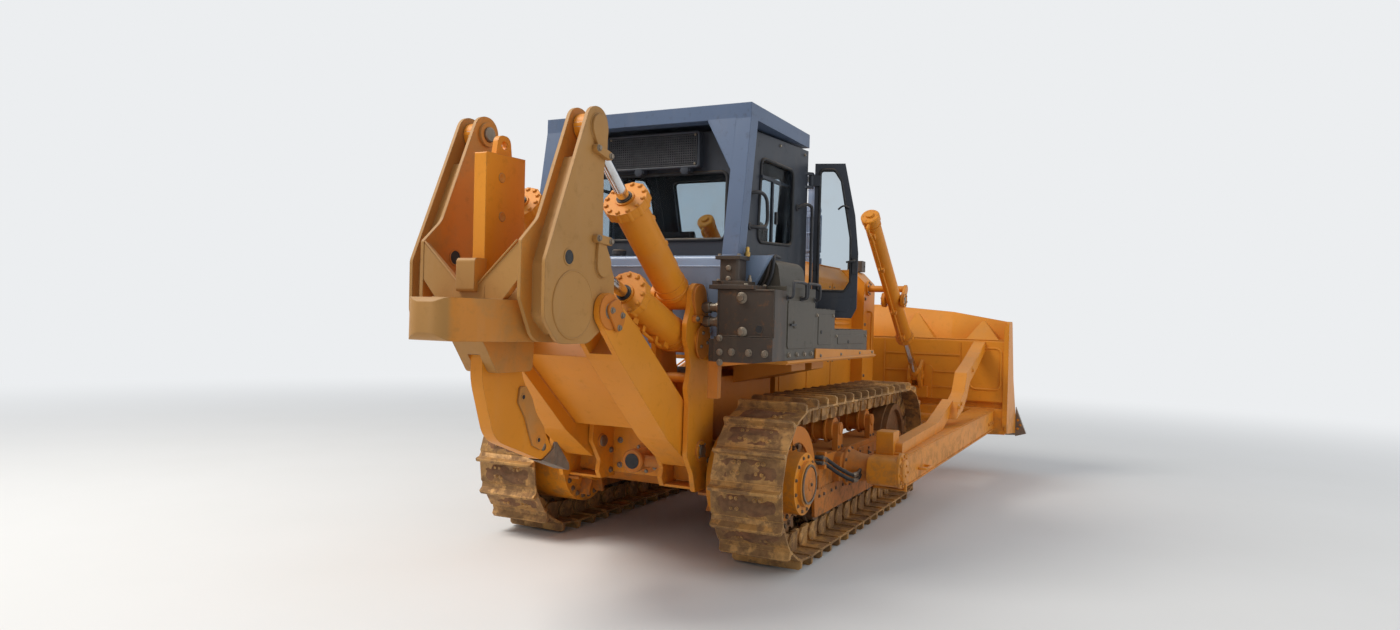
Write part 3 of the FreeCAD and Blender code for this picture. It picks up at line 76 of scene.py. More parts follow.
class Finish:
    """A node material, with short calls for the nodes that it is made from."""

    def __init__(self, name):
        self.material = bpy.data.materials.new(name)
        self.material.use_nodes = True
        self.tree = self.material.node_tree
        self.tree.nodes.clear()
        self.output = self.node("ShaderNodeOutputMaterial")
        self.shader = self.node("ShaderNodeBsdfPrincipled")
        self.join(self.shader.outputs[0], self.output.inputs[0])
        self.place = self.node("ShaderNodeTexCoord").outputs["Object"]
        self.edge_normal = None

    def node(self, kind, **settings):
        made = self.tree.nodes.new(kind)
        for key, value in settings.items():
            setattr(made, key, value)
        return made

    def join(self, source, target):
        self.tree.links.new(source, target)

    def put(self, socket, value):
        if isinstance(value, bpy.types.NodeSocket):
            self.join(value, socket)
        else:
            socket.default_value = value

    def noise(self, scale, detail=3.0, rough=0.55, stretch=None):
        made = self.node("ShaderNodeTexNoise")
        place = self.place
        if stretch is not None:
            mapping = self.node("ShaderNodeMapping")
            self.join(self.place, mapping.inputs["Vector"])
            mapping.inputs["Scale"].default_value = stretch
            place = mapping.outputs[0]
        self.join(place, made.inputs["Vector"])
        made.inputs["Scale"].default_value = scale
        made.inputs["Detail"].default_value = detail
        made.inputs["Roughness"].default_value = rough
        return made.outputs["Fac"]

    def span(self, value, low, high, first=0.0, last=1.0):
        """The value's place between low and high, as a smooth share from first to last."""
        made = self.node("ShaderNodeMapRange", interpolation_type="SMOOTHSTEP")
        self.put(made.inputs["Value"], value)
        for key, number in (("From Min", low), ("From Max", high), ("To Min", first), ("To Max", last)):
            made.inputs[key].default_value = number
        return made.outputs[0]

    def math(self, operation, first, second=0.0):
        made = self.node("ShaderNodeMath", operation=operation, use_clamp=True)
        self.put(made.inputs[0], first)
        self.put(made.inputs[1], second)
        return made.outputs[0]

    def mix(self, share, first, second):
        made = self.node("ShaderNodeMix", data_type="RGBA")
        self.put(made.inputs["Factor"], share)
        self.put(made.inputs[6], first)
        self.put(made.inputs[7], second)
        return made.outputs[2]

    def facing_up(self, low=0.35, high=0.95):
        """How nearly a face looks up."""
        parts = self.node("ShaderNodeSeparateXYZ")
        self.join(self.node("ShaderNodeNewGeometry").outputs["Normal"], parts.inputs[0])
        return self.span(parts.outputs["Z"], low, high)

    def height(self, low, high):
        """The share of the way up from low to high."""
        parts = self.node("ShaderNodeSeparateXYZ")
        self.join(self.place, parts.inputs[0])
        return self.span(parts.outputs["Z"], low, high)

    def inner_side(self, low, high):
        """Faces that look sideways, and lie nearer the middle plane than low to high."""
        parts = self.node("ShaderNodeSeparateXYZ")
        self.join(self.place, parts.inputs[0])
        near = self.span(self.math("ABSOLUTE", parts.outputs["Y"]), high, low)
        parts = self.node("ShaderNodeSeparateXYZ")
        self.join(self.node("ShaderNodeNewGeometry").outputs["Normal"], parts.inputs[0])
        return self.math("MULTIPLY", near, self.span(self.math("ABSOLUTE", parts.outputs["Y"]), 0.6, 0.8))

    def rounding(self, radius):
        """Edges shaded as if rounded; the result also tells where edges are."""
        bevel = self.node("ShaderNodeBevel", samples=4)
        bevel.inputs["Radius"].default_value = radius
        self.edge_normal = bevel.outputs[0]
        product = self.node("ShaderNodeVectorMath", operation="DOT_PRODUCT")
        self.join(bevel.outputs[0], product.inputs[0])
        self.join(self.node("ShaderNodeNewGeometry").outputs["Normal"], product.inputs[1])
        return self.span(product.outputs["Value"], 0.985, 0.86)

    def bump(self, value, distance, strength=1.0):
        made = self.node("ShaderNodeBump")
        made.inputs["Strength"].default_value = strength
        made.inputs["Distance"].default_value = distance
        self.join(value, made.inputs["Height"])
        if self.edge_normal is not None:
            self.join(self.edge_normal, made.inputs["Normal"])
        self.edge_normal = made.outputs[0]
        self.tree.links.new(made.outputs[0], self.shader.inputs["Normal"])

    def colour(self, value):
        self.put(self.shader.inputs["Base Color"], value)

    def rough(self, value):
        self.put(self.shader.inputs["Roughness"], value)

    def set(self, **values):
        for key, value in values.items():
            self.shader.inputs[key.replace("_", " ")].default_value = value


def shade(colour, factor):
    return (colour[0] * factor, colour[1] * factor, colour[2] * factor, 1)


dust_colour = linear(184, 156, 122)
mud_colour = linear(136, 102, 70)
dark_mud = linear(100, 74, 52)


def painted(name, base, dust=0.5, mud=0.6, gloss=0.46, worn=linear(140, 104, 62), edge=0.5, coat=0.04,
            other=None, where=None):
    """Sprayed paint with faded patches, dust on what looks up, and mud near the ground."""
    f = Finish(name)
    patches = f.span(f.noise(0.9, 2.0), 0.3, 0.7)
    colour = f.mix(patches, shade(base, 0.9), shade(base, 1.1))
    if other is not None:
        colour = f.mix(where(f), colour, f.mix(patches, shade(other, 0.9), shade(other, 1.1)))
    streaks = f.span(f.noise(5.0, 4.0, 0.6, (1.0, 1.0, 0.22)), 0.5, 0.78)
    colour = f.mix(f.math("MULTIPLY", streaks, 0.35 * dust), colour, dust_colour)
    grime = f.span(f.noise(14.0, 6.0, 0.7), 0.52, 0.75)
    colour = f.mix(f.math("MULTIPLY", grime, 0.3), colour, shade(base, 0.62))
    top = f.math("MULTIPLY", f.facing_up(), f.span(f.noise(6.0, 5.0, 0.65), 0.25, 0.7, 0.35, 1.0))
    top = f.math("MULTIPLY", top, dust)
    colour = f.mix(top, colour, dust_colour)
    edges = f.rounding(0.007)
    chips = f.math("MULTIPLY", edges, f.span(f.noise(38.0, 3.0), 0.42, 0.62, 0.15, 1.0))
    colour = f.mix(f.math("MULTIPLY", chips, edge), colour, worn)
    low = f.height(1.15, 0.25)
    splash = f.span(f.noise(9.0, 8.0, 0.72), 0.44, 0.62)
    low = f.math("MULTIPLY", f.math("MULTIPLY", low, splash), mud)
    colour = f.mix(low, colour, mud_colour)
    f.colour(colour)
    dull = f.math("MAXIMUM", f.math("MAXIMUM", top, low), f.math("MULTIPLY", grime, 0.4))
    f.rough(f.span(dull, 0.0, 1.0, gloss, 0.92))
    f.bump(f.noise(3.2, 1.0), 0.004, 0.35)
    f.bump(f.noise(420.0, 2.0), 0.0006, 0.25)
    f.set(Coat_Weight=coat, Coat_Roughness=0.25, Specular_IOR_Level=0.28)
    return f.material


def bare_steel(name, base, rust, rust_share, mud=0.0, gloss=0.45, metallic=0.85, grain=60.0, edge=0.45):
    """Worn steel with patches of rust and patches of mud."""
    f = Finish(name)
    colour = f.mix(f.span(f.noise(4.0, 4.0), 0.3, 0.7), shade(base, 0.78), shade(base, 1.15))
    spots = f.math("MULTIPLY", f.span(f.noise(11.0, 7.0, 0.7), 0.42, 0.66), rust_share)
    colour = f.mix(spots, colour, rust)
    edges = f.rounding(0.005)
    cover = f.span(f.noise(5.0, 9.0, 0.7), 0.44, 0.54)
    cover = f.math("MULTIPLY", cover, mud)
    tone = f.mix(f.span(f.noise(18.0, 6.0), 0.35, 0.65), dark_mud, mud_colour)
    colour = f.mix(cover, colour, tone)
    # every edge gets a lighter copy of the base: partly metal worn bright, partly painted highlight
    f.colour(f.mix(f.math("MULTIPLY", edges, edge), colour, shade(base, 1.6)))
    f.rough(f.span(f.math("MAXIMUM", spots, cover), 0.0, 1.0, gloss, 0.95))
    f.put(f.shader.inputs["Metallic"], f.span(f.math("MAXIMUM", spots, cover), 0.0, 0.8, metallic, 0.0))
    f.bump(f.noise(grain, 6.0, 0.7), 0.004 if mud else 0.0012, 0.6)
    return f.material


def rubbery(name, base, gloss=0.6, grain=300.0):
    f = Finish(name)
    colour = f.mix(f.span(f.noise(3.0, 4.0), 0.3, 0.7), shade(base, 0.8), shade(base, 1.25))
    dust = f.math("MULTIPLY", f.facing_up(0.3, 0.9), f.span(f.noise(9.0, 5.0), 0.35, 0.7, 0.1, 0.45))
    f.colour(f.mix(dust, colour, dust_colour))
    f.rough(f.span(f.noise(20.0, 3.0), 0.3, 0.7, gloss - 0.08, gloss + 0.12))
    f.bump(f.noise(grain, 3.0), 0.0008, 0.4)
    return f.material


def woven(name, base):
    """Seat cloth: a fine crossed weave under faded patches."""
    f = Finish(name)
    waves = []
    for turn in ("X", "Z"):
        wave = f.node("ShaderNodeTexWave", bands_direction=turn)
        f.join(f.place, wave.inputs["Vector"])
        wave.inputs["Scale"].default_value = 110.0
        wave.inputs["Distortion"].default_value = 0.6
        waves.append(wave.outputs["Fac"])
    weave = f.math("MULTIPLY", waves[0], waves[1])
    colour = f.mix(f.span(f.noise(5.0, 4.0), 0.3, 0.7), shade(base, 0.75), shade(base, 1.3))
    colour = f.mix(f.math("MULTIPLY", weave, 0.5), colour, shade(base, 1.9))
    f.colour(colour)
    f.rough(f.span(weave, 0.0, 1.0, 0.95, 0.75))
    f.set(Sheen_Weight=0.4, Sheen_Roughness=0.5)
    f.bump(weave, 0.0012, 0.7)
    return f.material


def clear_glass(name, tint, dirt):
    """Window glass with a thin film of dust that gathers in patches."""
    f = Finish(name)
    film = f.math("MULTIPLY", f.span(f.noise(2.6, 6.0, 0.65), 0.42, 0.72), dirt)
    f.colour(f.mix(film, tint, dust_colour))
    f.rough(f.span(film, 0.0, 0.5, 0.02, 0.5))
    f.put(f.shader.inputs["Transmission Weight"], f.span(film, 0.0, 1.0, 1.0, 0.35))
    f.set(IOR=1.12)
    f.bump(f.noise(1.4, 1.0), 0.002, 0.15)
    return f.material


def plated(name):
    """Hard chrome, with a faint drawn grain and oil."""
    f = Finish(name)
    wipe = f.span(f.noise(6.0, 5.0, 0.6), 0.45, 0.7)
    f.colour(f.mix(wipe, linear(214, 214, 214), linear(168, 156, 140)))
    f.rough(f.span(wipe, 0.0, 1.0, 0.12, 0.36))
    f.set(Metallic=1.0)
    f.bump(f.noise(240.0, 2.0), 0.0003, 0.2)
    return f.material


def lamp_glass(name):
    f = Finish(name)
    rib = f.node("ShaderNodeTexWave", bands_direction="Y")
    f.join(f.place, rib.inputs["Vector"])
    rib.inputs["Scale"].default_value = 26.0
    f.colour(f.mix(rib.outputs["Fac"], linear(205, 210, 212), linear(236, 238, 238)))
    f.rough(f.span(f.noise(12.0, 4.0), 0.3, 0.7, 0.08, 0.3))
    f.bump(rib.outputs["Fac"], 0.003, 0.8)
    f.set(Specular_IOR_Level=0.8)
    return f.material


orange = linear(222, 140, 34)
navy = linear(66, 76, 96)
soot = linear(66, 57, 50)
finishes = {
    "body_paint": painted("body_paint", orange, dust=0.22),
    "frame_paint": painted("frame_paint", linear(196, 116, 36), dust=0.25, mud=0.75, gloss=0.55),
    "carrier_paint": painted("carrier_paint", linear(176, 128, 68), dust=0.4, mud=0.2, gloss=0.55,
                             worn=linear(150, 124, 92), other=linear(206, 132, 50),
                             where=lambda f: f.math("MULTIPLY", f.inner_side(0.36, 0.44),
                                                    f.span(f.noise(4.0, 5.0, 0.65), 0.35, 0.6, 0.35, 1.0))),
    "rops_paint": painted("rops_paint", soot, dust=0.16, gloss=0.42, worn=linear(122, 132, 146), edge=0.35,
                          other=linear(84, 100, 126), where=lambda f: f.height(2.325, 2.33)),
    "cab_paint": painted("cab_paint", linear(52, 56, 64), dust=0.14, gloss=0.42,
                         worn=linear(96, 100, 108), edge=0.3),
    "dark_paint": painted("dark_paint", linear(196, 120, 44), dust=0.22, gloss=0.5, worn=linear(110, 100, 88),
                          other=soot, where=lambda f: f.height(1.55, 1.56)),
    "box_paint": painted("box_paint", linear(76, 70, 60), dust=0.22, gloss=0.5, worn=linear(128, 122, 112)),
    "fender_paint": painted("fender_paint", linear(206, 132, 46), dust=0.25, gloss=0.5),
    "tank_paint": painted("tank_paint", linear(140, 158, 184), dust=0.1, gloss=0.25,
                          worn=linear(150, 158, 168), edge=0.3, coat=0.3),
    "exhaust_steel": bare_steel("exhaust_steel", linear(128, 142, 166), linear(120, 96, 76), 0.25,
                                gloss=0.5, metallic=0.3),
    "engine_iron": bare_steel("engine_iron", linear(70, 70, 70), linear(84, 62, 46), 0.5, metallic=0.3,
                              gloss=0.7),
    "glass": clear_glass("glass", linear(196, 208, 216), 0.12),
    "seat_fabric": woven("seat_fabric", linear(46, 46, 50)),
    "console_plastic": rubbery("console_plastic", linear(44, 44, 47)),
    # track steel: its lighter edges are partly wear and partly painted highlight
    "track_steel": bare_steel("track_steel", linear(196, 148, 84), linear(132, 92, 52), 0.5, mud=0.75,
                              gloss=0.5, grain=34.0, metallic=0.25, edge=0.75),
    "sprocket_steel": bare_steel("sprocket_steel", linear(152, 104, 56), linear(104, 70, 42), 0.5,
                                 mud=0.4, gloss=0.5, metallic=0.2, grain=40.0),
    "roller_steel": bare_steel("roller_steel", linear(110, 92, 72), linear(84, 60, 42), 0.6, mud=0.6,
                               gloss=0.5, metallic=0.5),
    "edge_steel": bare_steel("edge_steel", linear(128, 118, 106), linear(112, 78, 52), 0.55, mud=0.45,
                             gloss=0.42),
    "rod_chrome": plated("rod_chrome"),
    "pin_steel": bare_steel("pin_steel", linear(134, 124, 110), linear(104, 76, 52), 0.4, gloss=0.4),
}
# dark rubber for seals, hoses and wipers, also used for the black discs and sheet of painted shade
rubber_and_shade = rubbery("seal_rubber_and_shade", linear(30, 30, 32))
lens = lamp_glass("lamp_lens")
brass = bare_steel("brass", linear(196, 158, 84), linear(140, 104, 60), 0.3, gloss=0.3)
earth = bare_steel("dried_earth", linear(138, 96, 64), linear(98, 64, 42), 0.9, mud=0.6, gloss=0.9,
                   metallic=0.0, grain=60.0)

for item in frame["record"]["subparts"]:
    for place in nodes[item["node"]].material_slots:
        place.material = finishes[item["material_slot"]]


# Forms

def rounded(points, steps=4):
    """An outline whose corners (u, v, radius) become arcs."""
    result = []
    count = len(points)
    for index in range(count):
        here = Vector(points[index][:2])
        radius = points[index][2] if len(points[index]) > 2 else 0
        if not radius:
            result.append(here)
            continue
        back = (Vector(points[index - 1][:2]) - here).normalized()
        onward = (Vector(points[(index + 1) % count][:2]) - here).normalized()
        half = back.angle(onward) / 2
        centre = here + (back + onward).normalized() * (radius / math.sin(half))
        start = here + back * (radius / math.tan(half)) - centre
        turn = start.angle_signed(here + onward * (radius / math.tan(half)) - centre)
        for step in range(steps + 1):
            angle = -turn * step / steps
            result.append(centre + Matrix.Rotation(angle, 2) @ start)
    return result


class Form:
    """The vertices and faces of one piece, gathered shape by shape."""

    def __init__(self):
        self.verts = []
        self.faces = []

    def add(self, verts, faces):
        base = len(self.verts)
        self.verts.extend(verts)
        self.faces.extend([base + index for index in face] for face in faces)

    def loops(self, rings, closed=False, caps=True):
        """Skins equal rings of points, one after another."""
        size = len(rings[0])
        faces = []
        count = len(rings)
        for row in range(count if closed else count - 1):
            first = row * size
            second = (row + 1) % count * size
            for index in range(size):
                after = (index + 1) % size
                faces.append((first + index, first + after, second + after, second + index))
        if caps and not closed:
            faces.append(tuple(range(size))[::-1])
            faces.append(tuple(range((count - 1) * size, count * size)))
        self.add([point for ring in rings for point in ring], faces)

    def plate(self, origin, across, upward, points, low, high):
        """An outline in a plane of its own, from low to high along its normal."""
        normal = across.cross(upward).normalized()
        flat = [origin + across * u + upward * v for u, v in points]
        self.loops([[point + normal * low for point in flat], [point + normal * high for point in flat]])

    def prism(self, axis, points, low, high):
        if axis == "x":
            rings = [[spot(level, u, v) for u, v in points] for level in (low, high)]
        elif axis == "y":
            rings = [[spot(u, level, v) for u, v in points] for level in (low, high)]
        else:
            rings = [[spot(u, v, level) for u, v in points] for level in (low, high)]
        self.loops(rings)

    def block(self, low, high):
        self.prism("z", [(low[0], low[1]), (high[0], low[1]), (high[0], high[1]), (low[0], high[1])],
                   low[2], high[2])

    def lathe(self, origin, normal, profile, sides=24, turn=0.0):
        """A profile of (radius, height) turned round a line."""
        normal = normal.normalized()
        side = normal.orthogonal().normalized()
        other = normal.cross(side)
        rings = []
        for step in range(sides):
            angle = turn + 2 * math.pi * step / sides
            out = side * math.cos(angle) + other * math.sin(angle)
            rings.append([origin + out * radius + normal * level for radius, level in profile])
        size = len(profile)
        faces = []
        for step in range(sides):
            first = step * size
            second = (step + 1) % sides * size
            for index in range(size - 1):
                faces.append((first + index, first + index + 1, second + index + 1, second + index))
        if profile[0][0] > 0 and profile[0] != profile[-1]:
            faces.append(tuple(step * size for step in range(sides)))
            faces.append(tuple(step * size + size - 1 for step in range(sides))[::-1])
        self.add([point for ring in rings for point in ring], faces)

    def disc(self, origin, normal, radius, depth, sides=32, edge=0.004):
        """A disc with a chamfered face."""
        self.lathe(origin, normal, [(radius, 0), (radius, depth - edge), (radius - edge, depth)], sides)

    def bolt(self, origin, normal, size=0.016, turn=0.0):
        """A hexagon head on its washer."""
        self.lathe(origin, normal, [(size * 1.25, 0), (size * 1.25, size * 0.22), (size * 1.1, size * 0.26)], 14)
        self.lathe(origin, normal, [(size, size * 0.2), (size, size * 0.8), (size * 0.86, size * 0.95)], 6, turn)

    def bolt_ring(self, origin, normal, radius, count, size=0.016, start=0.0):
        side = normal.orthogonal().normalized()
        other = normal.cross(side).normalized()
        for step in range(count):
            angle = start + 2 * math.pi * step / count
            self.bolt(origin + side * radius * math.cos(angle) + other * radius * math.sin(angle),
                      normal, size, angle)

    def tube(self, points, radius, sides=12, closed=False):
        """A round bar along a line of points."""
        count = len(points)
        rings = []
        side = None
        for index in range(count):
            before = points[index - 1] if index or closed else points[index]
            after = points[(index + 1) % count] if index < count - 1 or closed else points[index]
            along = (after - before).normalized()
            if side is None:
                side = along.orthogonal().normalized()
            side = (side - along * side.dot(along)).normalized()
            other = along.cross(side)
            near = (points[index] - points[index - 1]).normalized() if index or closed else along
            widen = 1 / max(0.5, abs(near.dot(along)))
            rings.append([points[index] + (side * math.cos(2 * math.pi * step / sides)
                                           + other * math.sin(2 * math.pi * step / sides)) * radius * widen
                          for step in range(sides)])
        self.loops(rings, closed)

    def piece(self, name, body, material, slot, bevel=0.0, sharp=38.0):
        mesh = bpy.data.meshes.new(name)
        mesh.from_pydata(self.verts, [], self.faces)
        work = bmesh.new()
        work.from_mesh(mesh)
        bmesh.ops.remove_doubles(work, verts=work.verts, dist=1e-6)
        bmesh.ops.recalc_face_normals(work, faces=work.faces)
        work.to_mesh(mesh)
        work.free()
        mesh.materials.append(material)
        mesh.shade_smooth()
        mesh.set_sharp_from_angle(angle=math.radians(sharp))
        made = bpy.data.objects.new(name, mesh)
        bpy.context.scene.collection.objects.link(made)
        if bevel:
            modifier = made.modifiers.new("edges", "BEVEL")
            modifier.width = bevel
            modifier.segments = 2
            modifier.limit_method = "ANGLE"
            modifier.angle_limit = math.radians(40)
        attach(made, body)
        return made


def curve_through(points, steps=6):
    """Points along a smooth line that passes each given point."""
    result = []
    count = len(points)
    for index in range(count - 1):
        p0 = points[max(index - 1, 0)]
        p1 = points[index]
        p2 = points[index + 1]
        p3 = points[min(index + 2, count - 1)]
        for step in range(steps):
            t = step / steps
            result.append(0.5 * ((2 * p1) + (p2 - p0) * t + (2 * p0 - 5 * p1 + 4 * p2 - p3) * t ** 2
                                 + (3 * p1 - p0 - 3 * p2 + p3) * t ** 3))
    result.append(points[-1])
    return result


# Tracks: shoes, links, pins and bushings, laid round the same belt as the solids

shoe_pitch = 0.2286
shoe_phase = 0.39
wheelbase = 3.15
pin_height = 0.142
rear_wheel = (0.495, pin_height + 0.495)
front_wheel = (0.48, pin_height + 0.48)
track_y = 1.07
shoe_half = 0.28


def belt_pins():
    """Pin centres as (x, z), from the sprocket's underside forward along the ground."""
    rear_radius, rear_z = rear_wheel
    front_radius, front_z = front_wheel
    rear = Vector((0, rear_z))
    front = Vector((wheelbase, front_z))
    slope = 2 * math.asin((rear_radius - front_radius) / (front - rear).length)
    normal = math.pi / 2 - slope
    runs = (wheelbase, front_radius * (math.pi - slope), (front - rear).length * math.cos(slope / 2),
            rear_radius * (math.pi + slope))
    total = sum(runs)
    count = round(total / shoe_pitch)
    outward = Vector((math.cos(normal), math.sin(normal)))
    pins = []
    for index in range(count):
        along = total * (index + shoe_phase) / count
        part = 0
        while along > runs[part]:
            along -= runs[part]
            part += 1
        if part == 0:
            pins.append(Vector((along, pin_height)))
        elif part == 1:
            angle = -math.pi / 2 + along / front_radius
            pins.append(front + Vector((math.cos(angle), math.sin(angle))) * front_radius)
        elif part == 2:
            start = front + outward * front_radius
            finish = rear + outward * rear_radius
            pins.append(start + (finish - start) * (along / runs[2]))
        else:
            angle = normal + along / rear_radius
            pins.append(rear + Vector((math.cos(angle), math.sin(angle))) * rear_radius)
    return pins


def link_outline(length):
    """Side view of a link: round eyes at both pins, a flat rail and a raised shoe seat."""
    points = []
    for step in range(7):
        angle = math.radians(90 + 30 * step)
        points.append((0.052 * math.cos(angle), 0.052 * math.sin(angle)))
    points[-1] = (-0.012, -0.06)
    points += [(0.02, -0.082), (length - 0.02, -0.082), (length + 0.012, -0.06)]
    for step in range(7):
        angle = math.radians(-90 + 30 * step)
        if step:
            points.append((length + 0.052 * math.cos(angle), 0.052 * math.sin(angle)))
    points += [(length - 0.03, 0.062), (0.03, 0.062)]
    return points


def half_link(outline, length, near):
    """The end of a link that lies outside or inside its neighbour, its points in order."""
    cut = length * (0.58 if near else 0.42)
    points = [(u, v) for u, v in outline if (u <= cut if near else u >= cut)]
    points += [(cut, -0.082), (cut, 0.062)]
    middle_u = sum(u for u, v in points) / len(points)
    middle_v = sum(v for u, v in points) / len(points)
    return sorted(points, key=lambda point: math.atan2(point[1] - middle_v, point[0] - middle_u))


def track_side(side):
    """One track, in a piece of shoes and a piece of links."""
    pins = belt_pins()
    shoes = Form()
    links = Form()
    crust = Form()
    centre = side * track_y
    for index, pin in enumerate(pins):
        after = pins[(index + 1) % len(pins)]
        length = (after - pin).length
        run = (after - pin).normalized()
        along = Vector((run.x, 0, run.y))
        out = Vector((run.y, 0, -run.x))
        base = spot(pin.x, centre, pin.y)
        section = [(0.0, 0.062), (length - 0.016, 0.062), (length + 0.004, 0.055), (length + 0.008, 0.063),
                   (length - 0.01, 0.077), (0.058, 0.077), (0.044, 0.086), (0.036, 0.138), (0.03, 0.142),
                   (0.018, 0.142), (0.012, 0.138), (0.006, 0.084), (-0.008, 0.072), (-0.022, 0.062),
                   (-0.027, 0.053), (-0.022, 0.048), (-0.008, 0.056)]
        rings = []
        for y, tuck in ((-shoe_half, 0.014), (-shoe_half + 0.02, 0), (shoe_half - 0.02, 0), (shoe_half, 0.014)):
            ring = []
            for u, v in section:
                drop = tuck if v > 0.1 else 0
                ring.append(base + along * u + out * (v - drop) + left * y)
            rings.append(ring)
        shoes.loops(rings)
        for y in (-0.115, -0.072, 0.072, 0.115):
            for u in (0.09, 0.165):
                shoes.bolt(base + along * u + out * 0.077 + left * y, out, 0.013, 0.4)
        rows, lines = 8, 18
        verts = []
        for row in range(rows + 1):
            for line in range(lines + 1):
                u = 0.05 + (length - 0.055) * row / rows
                y = -0.25 + 0.5 * line / lines
                dome = (1 - (2 * row / rows - 1) ** 4) * (1 - (2 * line / lines - 1) ** 4)
                lumps = noise.noise(Vector((u * 11, y * 6, index * 1.7 + side))) \
                    + 0.5 * noise.noise(Vector((u * 34, y * 26, index * 2.3)))
                depth = 0.07 + dome * max(0.0, 0.012 + 0.026 * lumps)
                verts.append(base + along * u + out * depth + left * y)
        faces = []
        for row in range(rows):
            for line in range(lines):
                first = row * (lines + 1) + line
                faces.append((first, first + 1, first + lines + 2, first + lines + 1))
        crust.add(verts, faces)
        outline = link_outline(length)
        for face in (-1, 1):
            for near, low, high in ((True, 0.0925, 0.115), (False, 0.07, 0.0935)):
                links.plate(base, along, out, half_link(outline, length, near), *sorted((-face * low, -face * high)))
        links.lathe(base - left * 0.122, left, [(0.0, 0), (0.023, 0), (0.024, 0.002), (0.024, 0.242),
                                               (0.023, 0.244), (0.0, 0.244)], 16)
        links.lathe(base - left * 0.07, left, [(0.036, 0), (0.036, 0.14)], 16)
        for face in (-1, 1):
            links.lathe(base + left * face * 0.115, left * face,
                        [(0.041, 0), (0.041, 0.004), (0.036, 0.006)], 18)
    tag = "left" if side > 0 else "right"
    made = shoes.piece("track_shoes_" + tag, "machine", finishes["track_steel"], "track_steel")
    chain = links.piece("track_links_" + tag, "machine", finishes["track_steel"], "track_steel")
    crust.piece("track_earth_" + tag, "machine", earth, "track_steel")
    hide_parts("track_" + tag)
    return made, chain


for side in (-1, 1):
    track_side(side)

sides = (("left", 1), ("right", -1))


def round_pair(first, first_radius, second, second_radius, steps=10):
    """The outline of a strap drawn round two circles."""
    first = Vector(first)
    second = Vector(second)
    line = second - first
    base = math.atan2(line.y, line.x)
    spread = math.acos((first_radius - second_radius) / line.length)
    points = []
    for centre, radius, start, turn in ((first, first_radius, base + spread, 2 * math.pi - 2 * spread),
                                        (second, second_radius, base - spread, 2 * spread)):
        for step in range(steps + 1):
            angle = start + turn * step / steps
            points.append(centre + Vector((math.cos(angle), math.sin(angle))) * radius)
    return points


def ring_bead(form, centre, normal, radius, size=0.007, sides_round=40):
    """A weld bead, or a cord, run round a circle."""
    profile = [(radius + size * math.cos(math.pi * step / 3), size * math.sin(math.pi * step / 3))
               for step in range(7)]
    profile[-1] = profile[0]
    form.lathe(centre, normal, profile, sides_round)


def collar(form, centre, normal, inner, outer, low, high, sides_round=32):
    """A ring with square edges."""
    form.lathe(centre, normal, [(inner, low), (outer, low), (outer, high), (inner, high), (inner, low)],
               sides_round)


def brick(form, centre, along, upward, size):
    """A block turned any way: its sizes run along, across and upward."""
    along = along.normalized()
    across = upward.cross(along).normalized()
    upward = along.cross(across)
    half = [value / 2 for value in size]
    rings = []
    for level in (-half[2], half[2]):
        rings.append([centre + along * a + across * b + upward * level
                      for a, b in ((-half[0], -half[1]), (half[0], -half[1]), (half[0], half[1]),
                                   (-half[0], half[1]))])
    form.loops(rings)


def on_side(form, points, level, depth, side):
    """A plate that stands proud of a side face."""
    form.prism("y", points, *sorted((side * level, side * (level + depth))))


def pin_cover(plates, bolts, centre, radius, lobe, bar, level, side):
    """A teardrop keeper over a pin's end, with a lock bar across its tail."""
    on_side(plates, round_pair(centre, radius, lobe, radius * 0.55), level, 0.02, side)
    ring_bead(plates, spot(centre[0], side * level, centre[1]), left * side, radius + 0.004, 0.006)
    on_side(plates, round_pair(bar[0], 0.026, bar[1], 0.026), level, 0.034, side)
    for end in bar:
        bolts.bolt(spot(end[0], side * (level + 0.034), end[1]), left * side, 0.017, 0.3)


# Ripper pivots: x and z of each pin, and the middle of the left-hand linkage

tower_pivot = (-0.39, 0.87)
carrier_pivot = (-1.64, 1.895)
tilt_base = (-0.51, 2.02)
tilt_pin = (-1.76, 3.045)
lift_base = (-0.44, 1.7)
lift_pin = (-1.67, 2.185)
ripper_y = 0.44
eye_half = 0.0495


